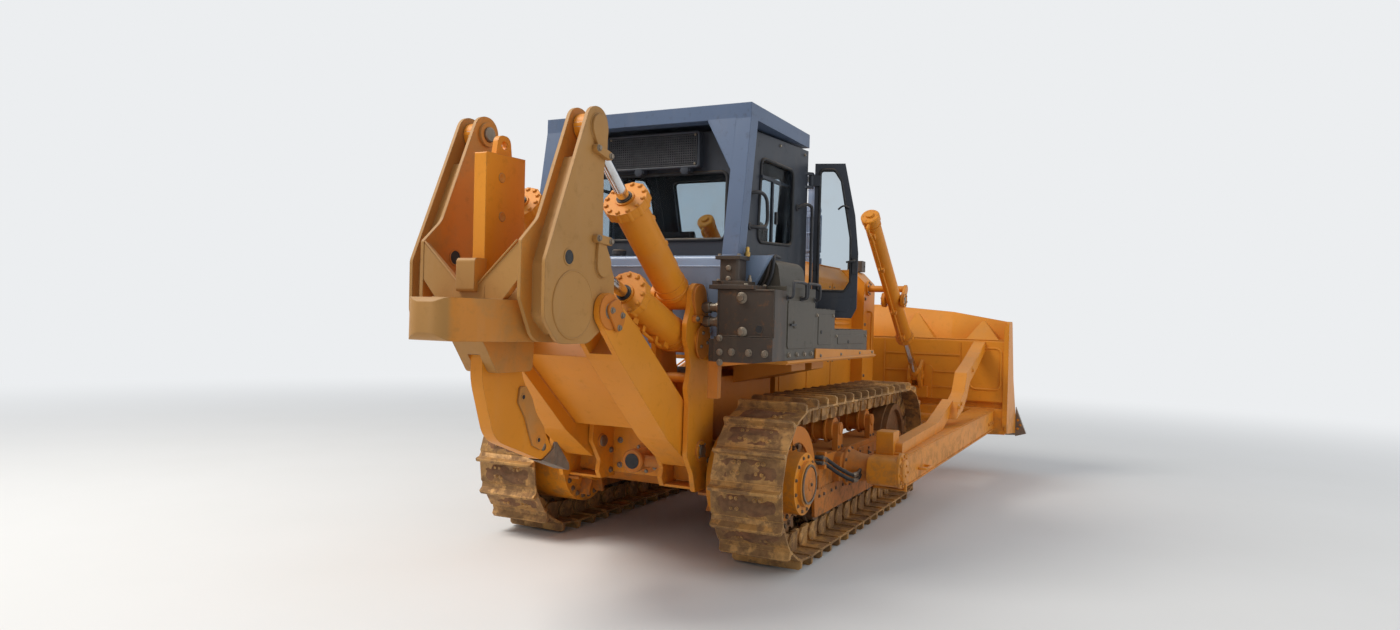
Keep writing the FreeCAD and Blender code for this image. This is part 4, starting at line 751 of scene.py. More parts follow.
def dress_ripper():
    head = Form()
    head_bolts = Form()
    dark = Form()
    tower = Form()
    tower_bolts = Form()
    arms = Form()
    arm_bolts = Form()
    for tag, side in sides:
        out = left * side
        pin_cover(head, head_bolts, (tilt_pin[0] + 0.01, tilt_pin[1] - 0.01), 0.085, (-1.725, 2.925),
                  ((-1.79, 2.9), (-1.65, 2.872)), 0.52, side)
        pin_cover(head, head_bolts, (lift_pin[0] + 0.005, lift_pin[1]), 0.08, (-1.695, 2.3),
                  ((-1.76, 2.345), (-1.62, 2.335)), 0.52, side)
        ring_bead(head, spot(-1.97, side * 0.5215, 1.925), out, 0.204, 0.007, 56)
        # black discs in the ear plates' pin holes: painted shade for the holes' dark insides
        for level, face in ((0.52, 1), (0.36, -1)):
            at = spot(-2.026, side * level, 2.209)
            dark.lathe(at, out * face, [(0.045, 0), (0.045, 0.002), (0.0, 0.002)], 28)
            collar(head, at, out * face, 0.043, 0.054, 0, 0.004)
        for pin, reach in ((tilt_pin, 0.08), (lift_pin, 0.075)):
            at = spot(pin[0], side * 0.36, pin[1])
            collar(head, at, -out, 0.05, reach, 0, 0.022)
            head_bolts.lathe(at, -out, [(0.049, 0), (0.049, 0.034), (0.042, 0.04), (0.0, 0.04)], 28)
        ring_bead(head, spot(-1.97, side * 0.3585, 1.925), out, 0.194, 0.008, 48)
        pin_cover(tower, tower_bolts, (tilt_base[0] + 0.01, tilt_base[1]), 0.095, (-0.5, 1.9),
                  ((-0.57, 1.862), (-0.42, 1.858)), 0.616, side)
        on_side(tower, round_pair((lift_base[0], lift_base[1] + 0.02), 0.098, (-0.45, 1.66), 0.098), 0.631,
                0.012, side)
        tower_bolts.bolt_ring(spot(lift_base[0], side * 0.643, lift_base[1]), out, 0.06, 3, 0.012)
        ring_bead(tower, spot(tower_pivot[0], side * 0.617, tower_pivot[1]), out, 0.077, 0.008)
        tower_bolts.lathe(spot(tower_pivot[0], side * 0.63, tower_pivot[1]), out,
                          [(0.048, 0), (0.048, 0.01), (0.036, 0.016), (0.0, 0.016)], 28)
        tower_bolts.bolt_ring(spot(tower_pivot[0], side * 0.63, tower_pivot[1]), out, 0.062, 4, 0.008)
        for pin in (tilt_base, lift_base, tower_pivot):
            tower_bolts.lathe(spot(pin[0], side * 0.25, pin[1]), -out,
                              [(0.046, 0), (0.046, 0.012), (0.038, 0.018), (0.0, 0.018)], 24)
            ring_bead(tower, spot(pin[0], side * 0.264, pin[1]), out, 0.053, 0.006)
        for x, z in ((-0.25, 0.62), (-0.25, 0.78), (-0.25, 1.28)):
            for level, face in ((0.615, 1), (0.265, -1)):
                tower_bolts.bolt(spot(x, side * level, z), out * face, 0.02, 0.2)
        for level in (0.307, 0.573):
            ring_bead(tower, spot(-0.45, side * level, 1.415), out, 0.041, 0.007)
        on_side(arms, round_pair(carrier_pivot, 0.112, (-1.625, 1.883), 0.108), 0.566, 0.008, side)
        triangle = rounded([(-1.705, 1.925, 0.045), (-1.56, 1.985, 0.045), (-1.475, 1.85, 0.04),
                            (-1.55, 1.735, 0.045)])
        on_side(arms, triangle, 0.574, 0.018, side)
        for x, z in ((-1.64, 1.9), (-1.52, 1.87), (-1.555, 1.79)):
            arm_bolts.bolt(spot(x, side * 0.592, z), out, 0.017, 0.5)
        on_side(arms, round_pair(tower_pivot, 0.118, (-0.42, 0.9), 0.11), 0.566, 0.006, side)
        run = Vector((tower_pivot[0] - carrier_pivot[0], tower_pivot[1] - carrier_pivot[1])).normalized()
        across = Vector((-run.y, run.x))
        for offset in (-0.062, 0.062):
            first = Vector(carrier_pivot) + run * 0.44 + across * offset
            second = Vector(tower_pivot) - run * 0.35 + across * offset
            arms.tube([spot(first.x, side * 0.3155, first.y), spot(second.x, side * 0.3155, second.y)], 0.009, 8)
    head.tube([spot(-2.303, y, z) for y, z in ((0.352, 2.289), (0.07, 2.029), (-0.07, 2.029), (-0.352, 2.289))],
              0.006, 8)
    # a ring round the hole in the head's top, and a black disc in it as painted shade
    collar(head, spot(-2.5, 0.0, 1.942), up, 0.05, 0.07, 0, 0.006)
    dark.lathe(spot(-2.5, 0.0, 1.942), up, [(0.05, 0), (0.05, 0.003), (0.0, 0.003)], 28)
    guard = [(-1.86, 1.4), (-1.875, 1.3), (-1.8, 1.2), (-1.715, 1.01), (-1.62, 0.965), (-1.575, 1.03),
             (-1.6, 1.12), (-1.69, 1.22), (-1.735, 1.32), (-1.8, 1.4)]
    for side in (-1, 1):
        on_side(head, rounded([(x, z, 0.02) for x, z in guard]), 0.046, 0.016, side)
        # the guard's two holes: a ring round each, and a black disc of painted shade inside
        for x, z in ((-1.828, 1.332), (-1.655, 1.04)):
            at = spot(x, side * 0.062, z)
            collar(head, at, left * side, 0.014, 0.024, 0, 0.003)
            dark.lathe(at, left * side, [(0.0145, 0), (0.0145, 0.002), (0.0, 0.002)], 16)
        for x, z in ((-2.083, 2.692), (-2.072, 2.454)):
            head.lathe(spot(x, side * 0.046, z), left * side,
                       [(0.032, 0), (0.028, 0.006), (0.016, 0.002), (0.0, 0.0015)], 20)
        head_bolts.lathe(spot(-1.585, side * 0.046, 0.985), left * side,
                         [(0.026, 0), (0.026, 0.008), (0.02, 0.012), (0.0, 0.012)], 20)
    boss = spot(-0.18, -0.05, 0.742)
    tower.lathe(boss, -ahead, [(0.13, 0), (0.13, 0.03), (0.085, 0.035), (0.08, 0.2), (0.092, 0.205), (0.092, 0.25),
                               (0.08, 0.26)], 36)
    tower.tube([spot(-0.36, -0.1, 0.742), spot(-0.36, -0.27, 0.742)], 0.045, 20)
    tower_bolts.bolt_ring(boss - ahead * 0.03, -ahead, 0.108, 8, 0.014)
    # black disc on the boss's open end: painted shade inside it
    dark.lathe(boss - ahead * 0.26, -ahead, [(0.06, 0), (0.06, 0.004), (0.0, 0.004)], 24)
    rail_bolts = [(-0.21, side * 0.2, z) for side in (-1, 1) for z in (0.66, 0.86, 1.06, 1.26, 1.35)]
    for x, y, z in rail_bolts:
        tower_bolts.bolt(spot(x, y, z), -ahead, 0.02, 0.4)
    head.piece("ripper_head_keepers", "ripper_head", finishes["carrier_paint"], "carrier_paint", 0.003)
    head_bolts.piece("ripper_head_bolts", "ripper_head", finishes["pin_steel"], "pin_steel")
    # black discs of painted shade, standing in for the dark insides of holes
    dark.piece("ripper_hole_shade_discs", "ripper_head", rubber_and_shade, "carrier_paint")
    tower.piece("tower_keepers", "machine", finishes["frame_paint"], "frame_paint", 0.003)
    tower_bolts.piece("tower_bolts", "machine", finishes["pin_steel"], "pin_steel")
    arms.piece("ripper_arm_keepers", "ripper_arm_frame", finishes["frame_paint"], "frame_paint", 0.003)
    arm_bolts.piece("ripper_arm_bolts", "ripper_arm_frame", finishes["pin_steel"], "pin_steel")


def dress_cylinder(name, tag, side, start, finish, sizes, paint, pipe_turn, y=ripper_y):
    """Gland bolts, weld beads, a steel pipe with clamps, ports and a wiper; the caller adds the painted rod eye."""
    barrel_radius, gland_at, gland_radius, gland_depth, rod_radius, foot, lobes = sizes
    middle = side * y
    first = spot(start[0], middle, start[1])
    last = spot(finish[0], middle, finish[1])
    axis = (last - first).normalized()
    rise = Vector((-axis.z, 0, axis.x)) * pipe_turn
    shell = Form()
    bolts = Form()
    face = first + axis * gland_at
    for step in range(lobes):
        angle = 2 * math.pi * step / lobes
        out = rise * math.cos(angle) + left * math.sin(angle)
        reach = gland_radius - barrel_radius * 0.15
        shell.lathe(face - axis * gland_depth + out * reach, axis,
                    [(barrel_radius * 0.2, -0.006), (barrel_radius * 0.2, gland_depth)], 12)
        bolts.bolt(face + out * (reach - 0.004), axis, barrel_radius * 0.125, angle)
    ring_bead(shell, face - axis * gland_depth, axis, barrel_radius + 0.006, 0.01)
    collar(shell, face, axis, rod_radius + 0.004, rod_radius * 1.65, 0, 0.012)
    ring_bead(shell, first + axis * foot, axis, barrel_radius + 0.003, 0.008)
    collar(shell, first, axis, barrel_radius - 0.002, barrel_radius + 0.006, foot + 0.05, foot + 0.075)
    pipe = barrel_radius + 0.03
    low = foot + 0.14
    high = gland_at - gland_depth - 0.09
    for level in (low, high):
        brick(shell, first + axis * level + rise * (barrel_radius + 0.012), axis, rise, (0.07, 0.07, 0.045))
    line = [first + axis * low + rise * (barrel_radius + 0.02), first + axis * (low + 0.01) + rise * pipe,
            first + axis * (low + 0.07) + rise * (pipe + 0.004), first + axis * (high - 0.07) + rise * (pipe + 0.004),
            first + axis * (high - 0.01) + rise * pipe, first + axis * high + rise * (barrel_radius + 0.02)]
    shell.tube(curve_through(line, 4), 0.013, 12)
    for share in (0.3, 0.72):
        at = first + axis * (low + (high - low) * share) + rise * (pipe - 0.006)
        brick(shell, at, axis, rise, (0.035, 0.062, 0.046))
        bolts.bolt(at + rise * 0.023 + left * 0.022, rise, 0.008)
        bolts.bolt(at + rise * 0.023 - left * 0.022, rise, 0.008)
    body = name + "_barrel_" + tag
    shell.piece(body + "_fittings", body, finishes[paint], paint, 0.002)
    bolts.piece(body + "_bolts", body, finishes["body_paint"], "body_paint")
    wiper = Form()
    collar(wiper, face, axis, rod_radius + 0.0015, rod_radius + 0.014, 0.006, 0.02)
    wiper.piece(body + "_wiper", body, rubber_and_shade, "console_plastic")
    return first, last, axis, rise


def dress_cylinders():
    for tag, side in sides:
        for name, start, finish, share, turn in (("ripper_lift", lift_base, lift_pin, 0.66, 1),
                                                 ("ripper_tilt", tilt_base, tilt_pin, 0.62, -1)):
            length = (Vector(finish) - Vector(start)).length
            sizes = (0.118, length * share, 0.16, 0.07, 0.042, 0.1, 12)
            first, last, axis, rise = dress_cylinder(name, tag, side, start, finish, sizes, "body_paint", turn)
            eye = Form()
            eye.lathe(last - left * eye_half, left, [(0.079, 0), (0.081, 0.002), (0.081, 2 * eye_half - 0.002),
                                                     (0.079, 2 * eye_half)], 36)
            eye.lathe(last, -axis, [(0.05, 0.076), (0.05, 0.1), (0.0435, 0.106)], 28)
            ring_bead(eye, last - axis * 0.082, axis, 0.046, 0.008)
            body = name + "_rod_" + tag
            eye.piece(body + "_eye", body, finishes["body_paint"], "body_paint", 0.003)
        top = (3.82 - 1.366 * 0.787, 2.143 + 1.366 * 0.6173)
        sizes = (0.085, 2.1, 0.105, 0.06, 0.04, 0.06, 10)
        first, last, axis, rise = dress_cylinder("blade_lift", tag, side, top, (4.99, 1.225), sizes, "body_paint",
                                                 -1, 0.965)
        cap = Form()
        cap.lathe(first, -axis, [(0.1, -0.06), (0.1, 0.0), (0.09, 0.012), (0.045, 0.016), (0.04, 0.04), (0.0, 0.042)],
                  28)
        cap.bolt_ring(first - axis * 0.006, -axis, 0.074, 6, 0.011)
        elbow = [first + rise * 0.09 + axis * 0.03, first + rise * 0.14 + axis * 0.02,
                 first + rise * 0.16 + axis * 0.07, first + rise * 0.125 + axis * 0.2, first + rise * 0.115 + axis * 0.3]
        cap.tube(curve_through(elbow, 5), 0.016, 12)
        cap.piece("blade_lift_cap_" + tag, "blade_lift_barrel_" + tag, finishes["body_paint"], "body_paint", 0.002)
        eye = Form()
        eye.lathe(last - left * 0.0425, left, [(0.067, 0), (0.069, 0.003), (0.069, 0.082), (0.067, 0.085)], 32)
        eye.lathe(last, -axis, [(0.058, 0.045), (0.055, 0.08), (0.048, 0.11), (0.0415, 0.115)], 24)
        eye.piece("blade_lift_eye_" + tag, "blade_lift_rod_" + tag, finishes["body_paint"], "body_paint", 0.003)


dress_ripper()
dress_cylinders()

# Roll-over frame, mounting brackets, boxes and steps

def dress_frames():
    posts = Form()
    post_bolts = Form()
    bracket = Form()
    bracket_bolts = Form()
    boxes = Form()
    dark = Form()
    black = Form()
    yellow = Form()
    for tag, side in sides:
        out = left * side
        for x in (-0.512, -0.392):
            for y in (0.79, 0.945):
                post_bolts.bolt(spot(x, side * y, 2.33), up, 0.014, 0.3)
        seam = [(-0.505, 0.795), (-0.365, 0.795), (-0.365, 0.935), (-0.505, 0.935)]
        posts.tube([spot(x, side * y, 2.332) for x, y in seam], 0.007, 8, True)
        for y in (0.86, 1.08):
            for x in (-0.545, -0.345):
                post_bolts.bolt(spot(x, side * (y if x > -0.5 else y - 0.06), 2.145 if y < 0.99 else 2.115), up, 0.014)
        for z, reach in ((2.16, 0.87), (2.24, 0.87)):
            bracket_bolts.bolt(spot(-0.515, side * 0.865, z), -ahead, 0.017, 0.4)
        for y, z, size in ((0.836, 1.728, 0.02), (0.84, 1.627, 0.02), (0.935, 1.631, 0.022), (1.069, 1.63, 0.022),
                           (1.193, 1.628, 0.022), (0.843, 1.552, 0.02)):
            level = -0.575 if z < 1.74 else -0.55
            bracket_bolts.bolt(spot(level, side * y, z), -ahead, size, y)
        for y, z, size in ((0.994, 2.022, 0.028), (1.003, 1.775, 0.026)):
            at = spot(-0.55, side * y, z)
            bracket_bolts.lathe(at, -ahead, [(size * 1.5, 0), (size * 1.5, 0.004), (size * 1.4, 0.006)], 24)
            bracket_bolts.bolt(at - ahead * 0.005, -ahead, size, 0.2)
        # a ring round a hole in the bracket, with a black disc in it as painted shade
        dark.lathe(spot(-0.55, side * 1.134, 1.8), -ahead, [(0.026, 0), (0.026, 0.002), (0.0, 0.002)], 20)
        collar(bracket, spot(-0.55, side * 1.134, 1.8), -ahead, 0.026, 0.033, 0, 0.003)
        frame_line = [(0.81, 1.745), (1.243, 1.745), (1.243, 2.078), (0.81, 2.078)]
        bracket.tube([spot(-0.5515, side * y, z) for y, z in frame_line], 0.005, 8, True)
        for z in (1.95, 1.845):
            line = [(0.632, 0.03), (0.655, 0.042), (0.7, 0.042), (0.705, 0.034), (0.75, 0.034), (0.755, 0.044),
                    (0.785, 0.044), (0.8, 0.03)]
            bracket_bolts.lathe(spot(-0.45, 0, z), out, [(radius, level) for level, radius in line], 24)
        post_bolts.lathe(spot(-0.4, side * 0.985, 2.118), up,
                         [(0.016, 0), (0.016, 0.05), (0.01, 0.06), (0.01, 0.075)], 16)
        # side box: door panel, latch, bolt row and two tubular grips
        panel = rounded([(-0.3, 1.66, 0.03), (0.27, 1.66, 0.03), (0.27, 2.02, 0.03), (-0.3, 2.02, 0.03)])
        on_side(boxes, panel, 1.25, 0.006, side)
        for x in (-0.26, -0.09, 0.07, 0.23):
            bracket_bolts.bolt(spot(x, side * 1.25, 1.615), out, 0.016, x)
        boxes.lathe(spot(-0.17, side * 1.256, 1.84), out, [(0.028, 0), (0.028, 0.006), (0.02, 0.01), (0.0, 0.01)], 24)
        brick(black, spot(-0.215, side * 1.266, 1.838), ahead, up, (0.1, 0.012, 0.016))
        for low, high in ((-0.31, -0.03), (0.0, 0.28)):
            grip = [spot(low, side * 1.25, 2.035), spot(low, side * 1.285, 2.04), spot(low + 0.004, side * 1.295, 2.07),
                    spot(low + 0.006, side * 1.295, 2.13), spot(low + 0.035, side * 1.293, 2.152),
                    spot(high - 0.035, side * 1.293, 2.152), spot(high - 0.006, side * 1.295, 2.13),
                    spot(high - 0.004, side * 1.295, 2.07), spot(high, side * 1.285, 2.04),
                    spot(high, side * 1.25, 2.035)]
            black.tube(curve_through(grip, 3), 0.011, 10)
            for x in (low, high):
                black.disc(spot(x, side * 1.25, 2.035), out, 0.022, 0.006, 16, 0.002)
        for step in range(3):
            y = 1.0 + 0.036 * step
            rail = [spot(-0.262, side * (y - 0.005), 2.125), spot(-0.264, side * (y + 0.03), 2.2),
                    spot(-0.262, side * (y + 0.055 - step * 0.006), 2.29),
                    spot(-0.23, side * (y + 0.058 - step * 0.01), 2.345),
                    spot(-0.1, side * (y + 0.05 - step * 0.012), 2.358 - step * 0.008)]
            (posts if step == 1 else black).tube(curve_through(rail, 6), 0.011, 10)
        # steps: grip rows on the treads and bolts on the risers
        for low, high, level in ((0.32, 0.78, 1.968), (0.82, 1.74, 1.8)):
            boxes.prism("z", rounded([(low, side * 0.975, 0.01), (high, side * 0.975, 0.01),
                                      (high, side * 1.22, 0.01), (low, side * 1.22, 0.01)]), level, level + 0.004)
            count = int((high - low) / 0.055)
            for row in range(count):
                for line in range(4):
                    x = low + (high - low) * (row + 0.5) / count
                    y = 1.005 + 0.062 * line + (0.015 if row % 2 else 0)
                    collar(boxes, spot(x, side * y, level + 0.003), up, 0.007, 0.014, 0, 0.005, 10)
            for x in (low + 0.03, high - 0.03):
                bracket_bolts.bolt(spot(x, side * 1.25, level - 0.05), out, 0.012)
            door = rounded([(low + 0.06, 1.68, 0.02), (high - 0.06, 1.68, 0.02), (high - 0.06, level - 0.04, 0.02),
                            (low + 0.06, level - 0.04, 0.02)])
            on_side(boxes, door, 1.25, 0.004, side)
            dark.disc(spot((low + high) / 2 - 0.1, side * 1.254, (1.6 + level) / 2), out, 0.016, 0.004, 16, 0.001)
        # fender: edge lip and the two brackets that carry it
        for low, high in ((0.34, 0.66), (0.82, 1.12)):
            rings = []
            for y, z in ((0.535, 1.34), (1.05, 1.46)):
                rings.append([spot(low, side * y, z), spot(high, side * y, z), spot(high, side * y, 1.546),
                              spot(low, side * y, 1.546)])
            yellow.loops(rings)
        on_side(yellow, rounded([(0.31, 1.55, 0.005), (1.985, 1.55, 0.005), (1.985, 1.61, 0.03), (0.31, 1.655, 0.02)]),
                1.2495, 0.013, side)
        for x in (0.42, 0.95, 1.5, 1.9):
            bracket_bolts.bolt(spot(x, side * 1.262, 1.595), out, 0.012)
        lip = [(-0.33, 1.562), (0.3, 1.562), (1.42, 1.562), (2.0, 1.562)]
        yellow.tube([spot(x, side * 1.262, z) for x, z in lip], 0.0125, 10)
        # standing handrail beside the door
        rail = [spot(0.73, side * 0.915, 2.83), spot(0.77, side * 0.97, 2.86), spot(0.83, side * 0.995, 2.855),
                spot(0.858, side * 1.0, 2.8), spot(0.86, side * 1.0, 2.5), spot(0.86, side * 1.0, 2.1),
                spot(0.86, side * 1.0, 1.804)]
        black.tube(curve_through(rail, 5), 0.014, 12)
        black.disc(spot(0.86, side * 1.0, 1.804), up, 0.034, 0.008, 20, 0.002)
        black.disc(spot(0.73, side * 0.911, 2.83), out, 0.03, 0.008, 20, 0.002)
        # roof: end caps, edge seams and a lifting eye at each corner
        for x in (-0.24, 0.85):
            posts.lathe(spot(x, side * 0.86, 3.49), up, [(0.035, 0), (0.035, 0.006), (0.0, 0.006)], 20)
            posts.bolt(spot(x, side * 0.86, 3.494), up, 0.014)
        posts.tube([spot(-0.2, side * 0.799, 3.482), spot(0.81, side * 0.799, 3.482)], 0.006, 8)
        gusset = [(-0.331, 0.575, 3.37), (-0.331, 0.797, 3.37), (-0.381, 0.797, 2.985)]
        posts.tube([spot(x, side * y, z) for x, y, z in gusset[::2]], 0.006, 8)
    for x in (-0.199, 0.809):
        posts.tube([spot(x, -0.8, 3.482), spot(x, 0.8, 3.482)], 0.006, 8)
    for y in (-0.4, 0.0, 0.4):
        posts.prism("y", [(-0.19, 3.479), (0.8, 3.479), (0.79, 3.487), (-0.18, 3.487)], y - 0.03, y + 0.03)
    # filler cap on the tank, and a seam along its rear edge
    cap = spot(-0.235, 0.25, 2.345)
    black.lathe(cap, up, [(0.05, 0), (0.05, 0.02), (0.058, 0.022), (0.058, 0.05), (0.05, 0.058), (0.0, 0.06)], 28)
    seam = Form()
    seam.tube([spot(-0.3615, -0.78, 2.262), spot(-0.3615, 0.78, 2.262)], 0.0045, 8)
    for y in (-0.56, 0.56):
        seam.prism("y", [(-0.364, 2.27), (-0.358, 2.27), (-0.2, 1.76), (-0.206, 1.76)], y - 0.03, y + 0.03)
    seam.piece("tank_seams", "machine", finishes["tank_paint"], "tank_paint")
    posts.piece("rops_seams", "machine", finishes["rops_paint"], "rops_paint", 0.002)
    post_bolts.piece("rops_bolts", "machine", finishes["pin_steel"], "pin_steel")
    bracket.piece("bracket_seams", "machine", finishes["dark_paint"], "dark_paint", 0.002)
    bracket_bolts.piece("bracket_bolts", "machine", finishes["pin_steel"], "pin_steel")
    boxes.piece("box_panels", "machine", finishes["box_paint"], "box_paint", 0.0015)
    # keyholes on the step boxes, and a black disc of painted shade in each bracket's hole
    dark.piece("keyholes_and_hole_shade", "machine", rubber_and_shade, "console_plastic")
    black.piece("grips_and_rails", "machine", finishes["console_plastic"], "console_plastic")
    yellow.piece("fender_supports", "machine", finishes["fender_paint"], "fender_paint", 0.003)
    beacon = Form()
    beacon.lathe(spot(-0.4, -0.96, 2.33), up, [(0.022, 0), (0.022, 0.03), (0.015, 0.034), (0.015, 0.065),
                                               (0.01, 0.072), (0.0, 0.073)], 20)
    beacon.piece("brass_valve", "machine", brass, "pin_steel")


# Cab: seals, grips, grille panel, seat and controls

def wall_y(x):
    return 0.82 + (x + 0.1) * 0.11 / 1.02


hinge_corner = Vector((0.92, 0.93))
door_along = Vector((1.345 - 0.92, 0.545 - 0.93)).normalized()
door_inward = Vector((door_along.y, -door_along.x))
door_open = math.radians(117)


def door_point(u, z, depth, side):
    """A point of a door, from its hinge edge forward and into the cab: the left one is shut, the right one open."""
    flat = hinge_corner + door_along * u + door_inward * depth
    if side < 0:
        axis = hinge_corner - door_inward * 0.032
        arm = flat - axis
        flat = axis + Vector((math.cos(door_open) * arm.x - math.sin(door_open) * arm.y,
                              math.sin(door_open) * arm.x + math.cos(door_open) * arm.y))
        flat.y = -flat.y
    return spot(flat.x, flat.y, z)


window_seals = ([(0.06, 2.48, 0.06), (0.64, 2.5, 0.06), (0.64, 3.13, 0.06), (0.09, 3.15, 0.06)],
                [(-0.64, 2.49, 0.05), (0.64, 2.49, 0.05), (0.64, 3.02, 0.05), (-0.64, 3.02, 0.05)],
                [(-0.47, 2.33, 0.04), (0.47, 2.33, 0.04), (0.56, 3.18, 0.04), (-0.56, 3.18, 0.04)])
door_seal = [(0.075, 2.137, 0.03), (0.31, 2.137, 0.03), (0.358, 2.217, 0.03), (0.352, 2.6, 0.06),
             (0.262, 3.095, 0.06), (0.2, 3.19, 0.04), (0.075, 3.19, 0.03)]


def dress_cab():
    seals = Form()
    grips = Form()
    trim = Form()
    trim_bolts = Form()
    for tag, side in sides:
        out = left * side
        seals.tube([spot(x, side * (wall_y(x) + 0.003), z) for x, z in rounded(window_seals[0])], 0.013, 8, True)
        trim.prism("y", [(0.07, 2.985), (0.64, 2.985), (0.64, 3.012), (0.07, 3.012)],
                   *sorted((side * 0.842, side * 0.866)))
        trim.prism("y", [(0.29, 2.49), (0.318, 2.49), (0.318, 3.0), (0.29, 3.0)], *sorted((side * 0.84, side * 0.864)))
        brick(grips, spot(0.36, side * 0.87, 2.7), up, out, (0.1, 0.03, 0.02))
        line = [(-0.07, 0.0, 2.85), (-0.03, 0.045, 2.86), (0.04, 0.055, 2.853), (0.095, 0.055, 2.81),
                (0.108, 0.055, 2.74), (0.112, 0.055, 2.66), (0.08, 0.055, 2.605), (0.0, 0.05, 2.59),
                (-0.06, 0.0, 2.59)]
        grips.tube(curve_through([spot(x, side * (wall_y(x) + reach), z) for x, reach, z in line], 4), 0.014, 12)
        for x, z in ((-0.068, 2.85), (-0.06, 2.59)):
            grips.disc(spot(x, side * wall_y(x), z), out, 0.03, 0.008, 20, 0.002)
        for x in (-0.05, 0.4, 0.85):
            for z in (1.66, 3.3):
                trim_bolts.bolt(spot(x, side * wall_y(x), z), out, 0.011)
        seam = [(-0.095, 1.63), (0.9, 1.63)]
        trim.tube([spot(x, side * (wall_y(x) + 0.001), z) for x, z in seam], 0.006, 8)
        trim.tube([spot(x, side * (wall_y(x) + 0.001), 2.3) for x in (-0.095, 0.9)], 0.005, 8)
        # doors
        door = Form()
        door.tube([door_point(u, z, -0.002, side) for u, z in rounded(door_seal)], 0.012, 8, True)
        door.tube([door_point(u, z, 0.047, side) for u, z in rounded(door_seal)], 0.01, 8, True)
        door.piece("door_seal_" + tag, "door_" + tag, rubber_and_shade, "console_plastic")
        gear = Form()
        grip = [(0.12, 2.2, 0.045), (0.12, 2.21, 0.09), (0.12, 2.26, 0.1), (0.12, 2.6, 0.1), (0.12, 2.95, 0.1),
                (0.12, 2.99, 0.09), (0.12, 3.0, 0.045)]
        gear.tube(curve_through([door_point(u - 0.06, z, depth, side) for u, z, depth in grip], 4), 0.012, 12)
        brick(gear, door_point(0.392, 2.36, -0.012, side), up, door_point(0, 0, -1, side) - door_point(0, 0, 0, side),
              (0.14, 0.036, 0.024))
        lever = [door_point(0.392, 2.4, -0.024, side), door_point(0.388, 2.4, -0.05, side),
                 door_point(0.37, 2.395, -0.056, side), door_point(0.32, 2.385, -0.056, side)]
        gear.tube(curve_through(lever, 4), 0.009, 10)
        latch = [door_point(0.325, 2.86, -0.004, side), door_point(0.325, 2.86, -0.035, side),
                 door_point(0.28, 2.87, -0.045, side), door_point(0.24, 2.84, -0.04, side)]
        gear.tube(curve_through(latch, 4), 0.008, 10)
        gear.piece("door_gear_" + tag, "door_" + tag, finishes["console_plastic"], "console_plastic")
        panel = Form()
        skin = [(0.07, 1.96), (0.34, 1.96), (0.37, 2.02), (0.37, 2.08), (0.07, 2.08)]
        for depth in (-0.004, 0.045):
            rings = []
            for reach in (depth, depth + 0.004):
                rings.append([door_point(u, z, reach, side) for u, z in skin])
            panel.loops(rings)
        for z in (1.985, 2.325, 3.07):
            for u in (0.045, 0.06):
                panel.bolt(door_point(u, z - 0.01, 0.0, side), door_point(0, 0, -1, side) - door_point(0, 0, 0, side),
                           0.008)
        panel.piece("door_skin_" + tag, "door_" + tag, finishes["cab_paint"], "cab_paint", 0.0015)
    seals.tube([spot(-0.103, y, z) for y, z in rounded(window_seals[1])], 0.014, 8, True)
    lean = (1.345 - 1.216) / (3.345 - 2.3)
    seals.tube([spot(1.349 - lean * (z - 2.3), y, z) for y, z in rounded(window_seals[2])], 0.014, 8, True)
    # grille panel above the rear window
    low_y, high_y, low_z, high_z = -0.42, 0.42, 3.06, 3.33
    trim.block((-0.17, low_y, low_z), (-0.098, high_y, high_z))
    edge = rounded([(low_y, low_z, 0.02), (high_y, low_z, 0.02), (high_y, high_z, 0.02), (low_y, high_z, 0.02)])
    trim.tube([spot(-0.176, y, z) for y, z in edge], 0.012, 8, True)
    for step in range(1, 42):
        y = low_y + (high_y - low_y) * step / 42
        grips.block((-0.18, y - 0.0035, low_z + 0.02), (-0.17, y + 0.0035, high_z - 0.02))
    for step in range(1, 14):
        z = low_z + (high_z - low_z) * step / 14
        grips.block((-0.181, low_y + 0.02, z - 0.0035), (-0.171, high_y - 0.02, z + 0.0035))
    for y in (low_y + 0.03, high_y - 0.03):
        for z in (low_z + 0.02, high_z - 0.02):
            trim_bolts.bolt(spot(-0.184, y, z), -ahead, 0.008)
    for y in (-0.3, 0.12):
        brick(trim, spot(-0.14, y, 3.04), ahead, up, (0.07, 0.09, 0.03))
        lamp = spot(-0.175, y, 3.035)
        trim.lathe(lamp, -ahead, [(0.03, -0.02), (0.036, 0.0), (0.036, 0.01), (0.032, 0.012)], 20)
    trim.tube([spot(-0.103, -0.8, 2.3), spot(-0.103, 0.8, 2.3)], 0.006, 8)
    seals.piece("window_seals", "machine", rubber_and_shade, "console_plastic")
    grips.piece("cab_grips_and_grille", "machine", finishes["console_plastic"], "console_plastic")
    trim.piece("cab_trim", "machine", finishes["cab_paint"], "cab_paint", 0.0015)
    trim_bolts.piece("cab_bolts", "machine", finishes["pin_steel"], "pin_steel")


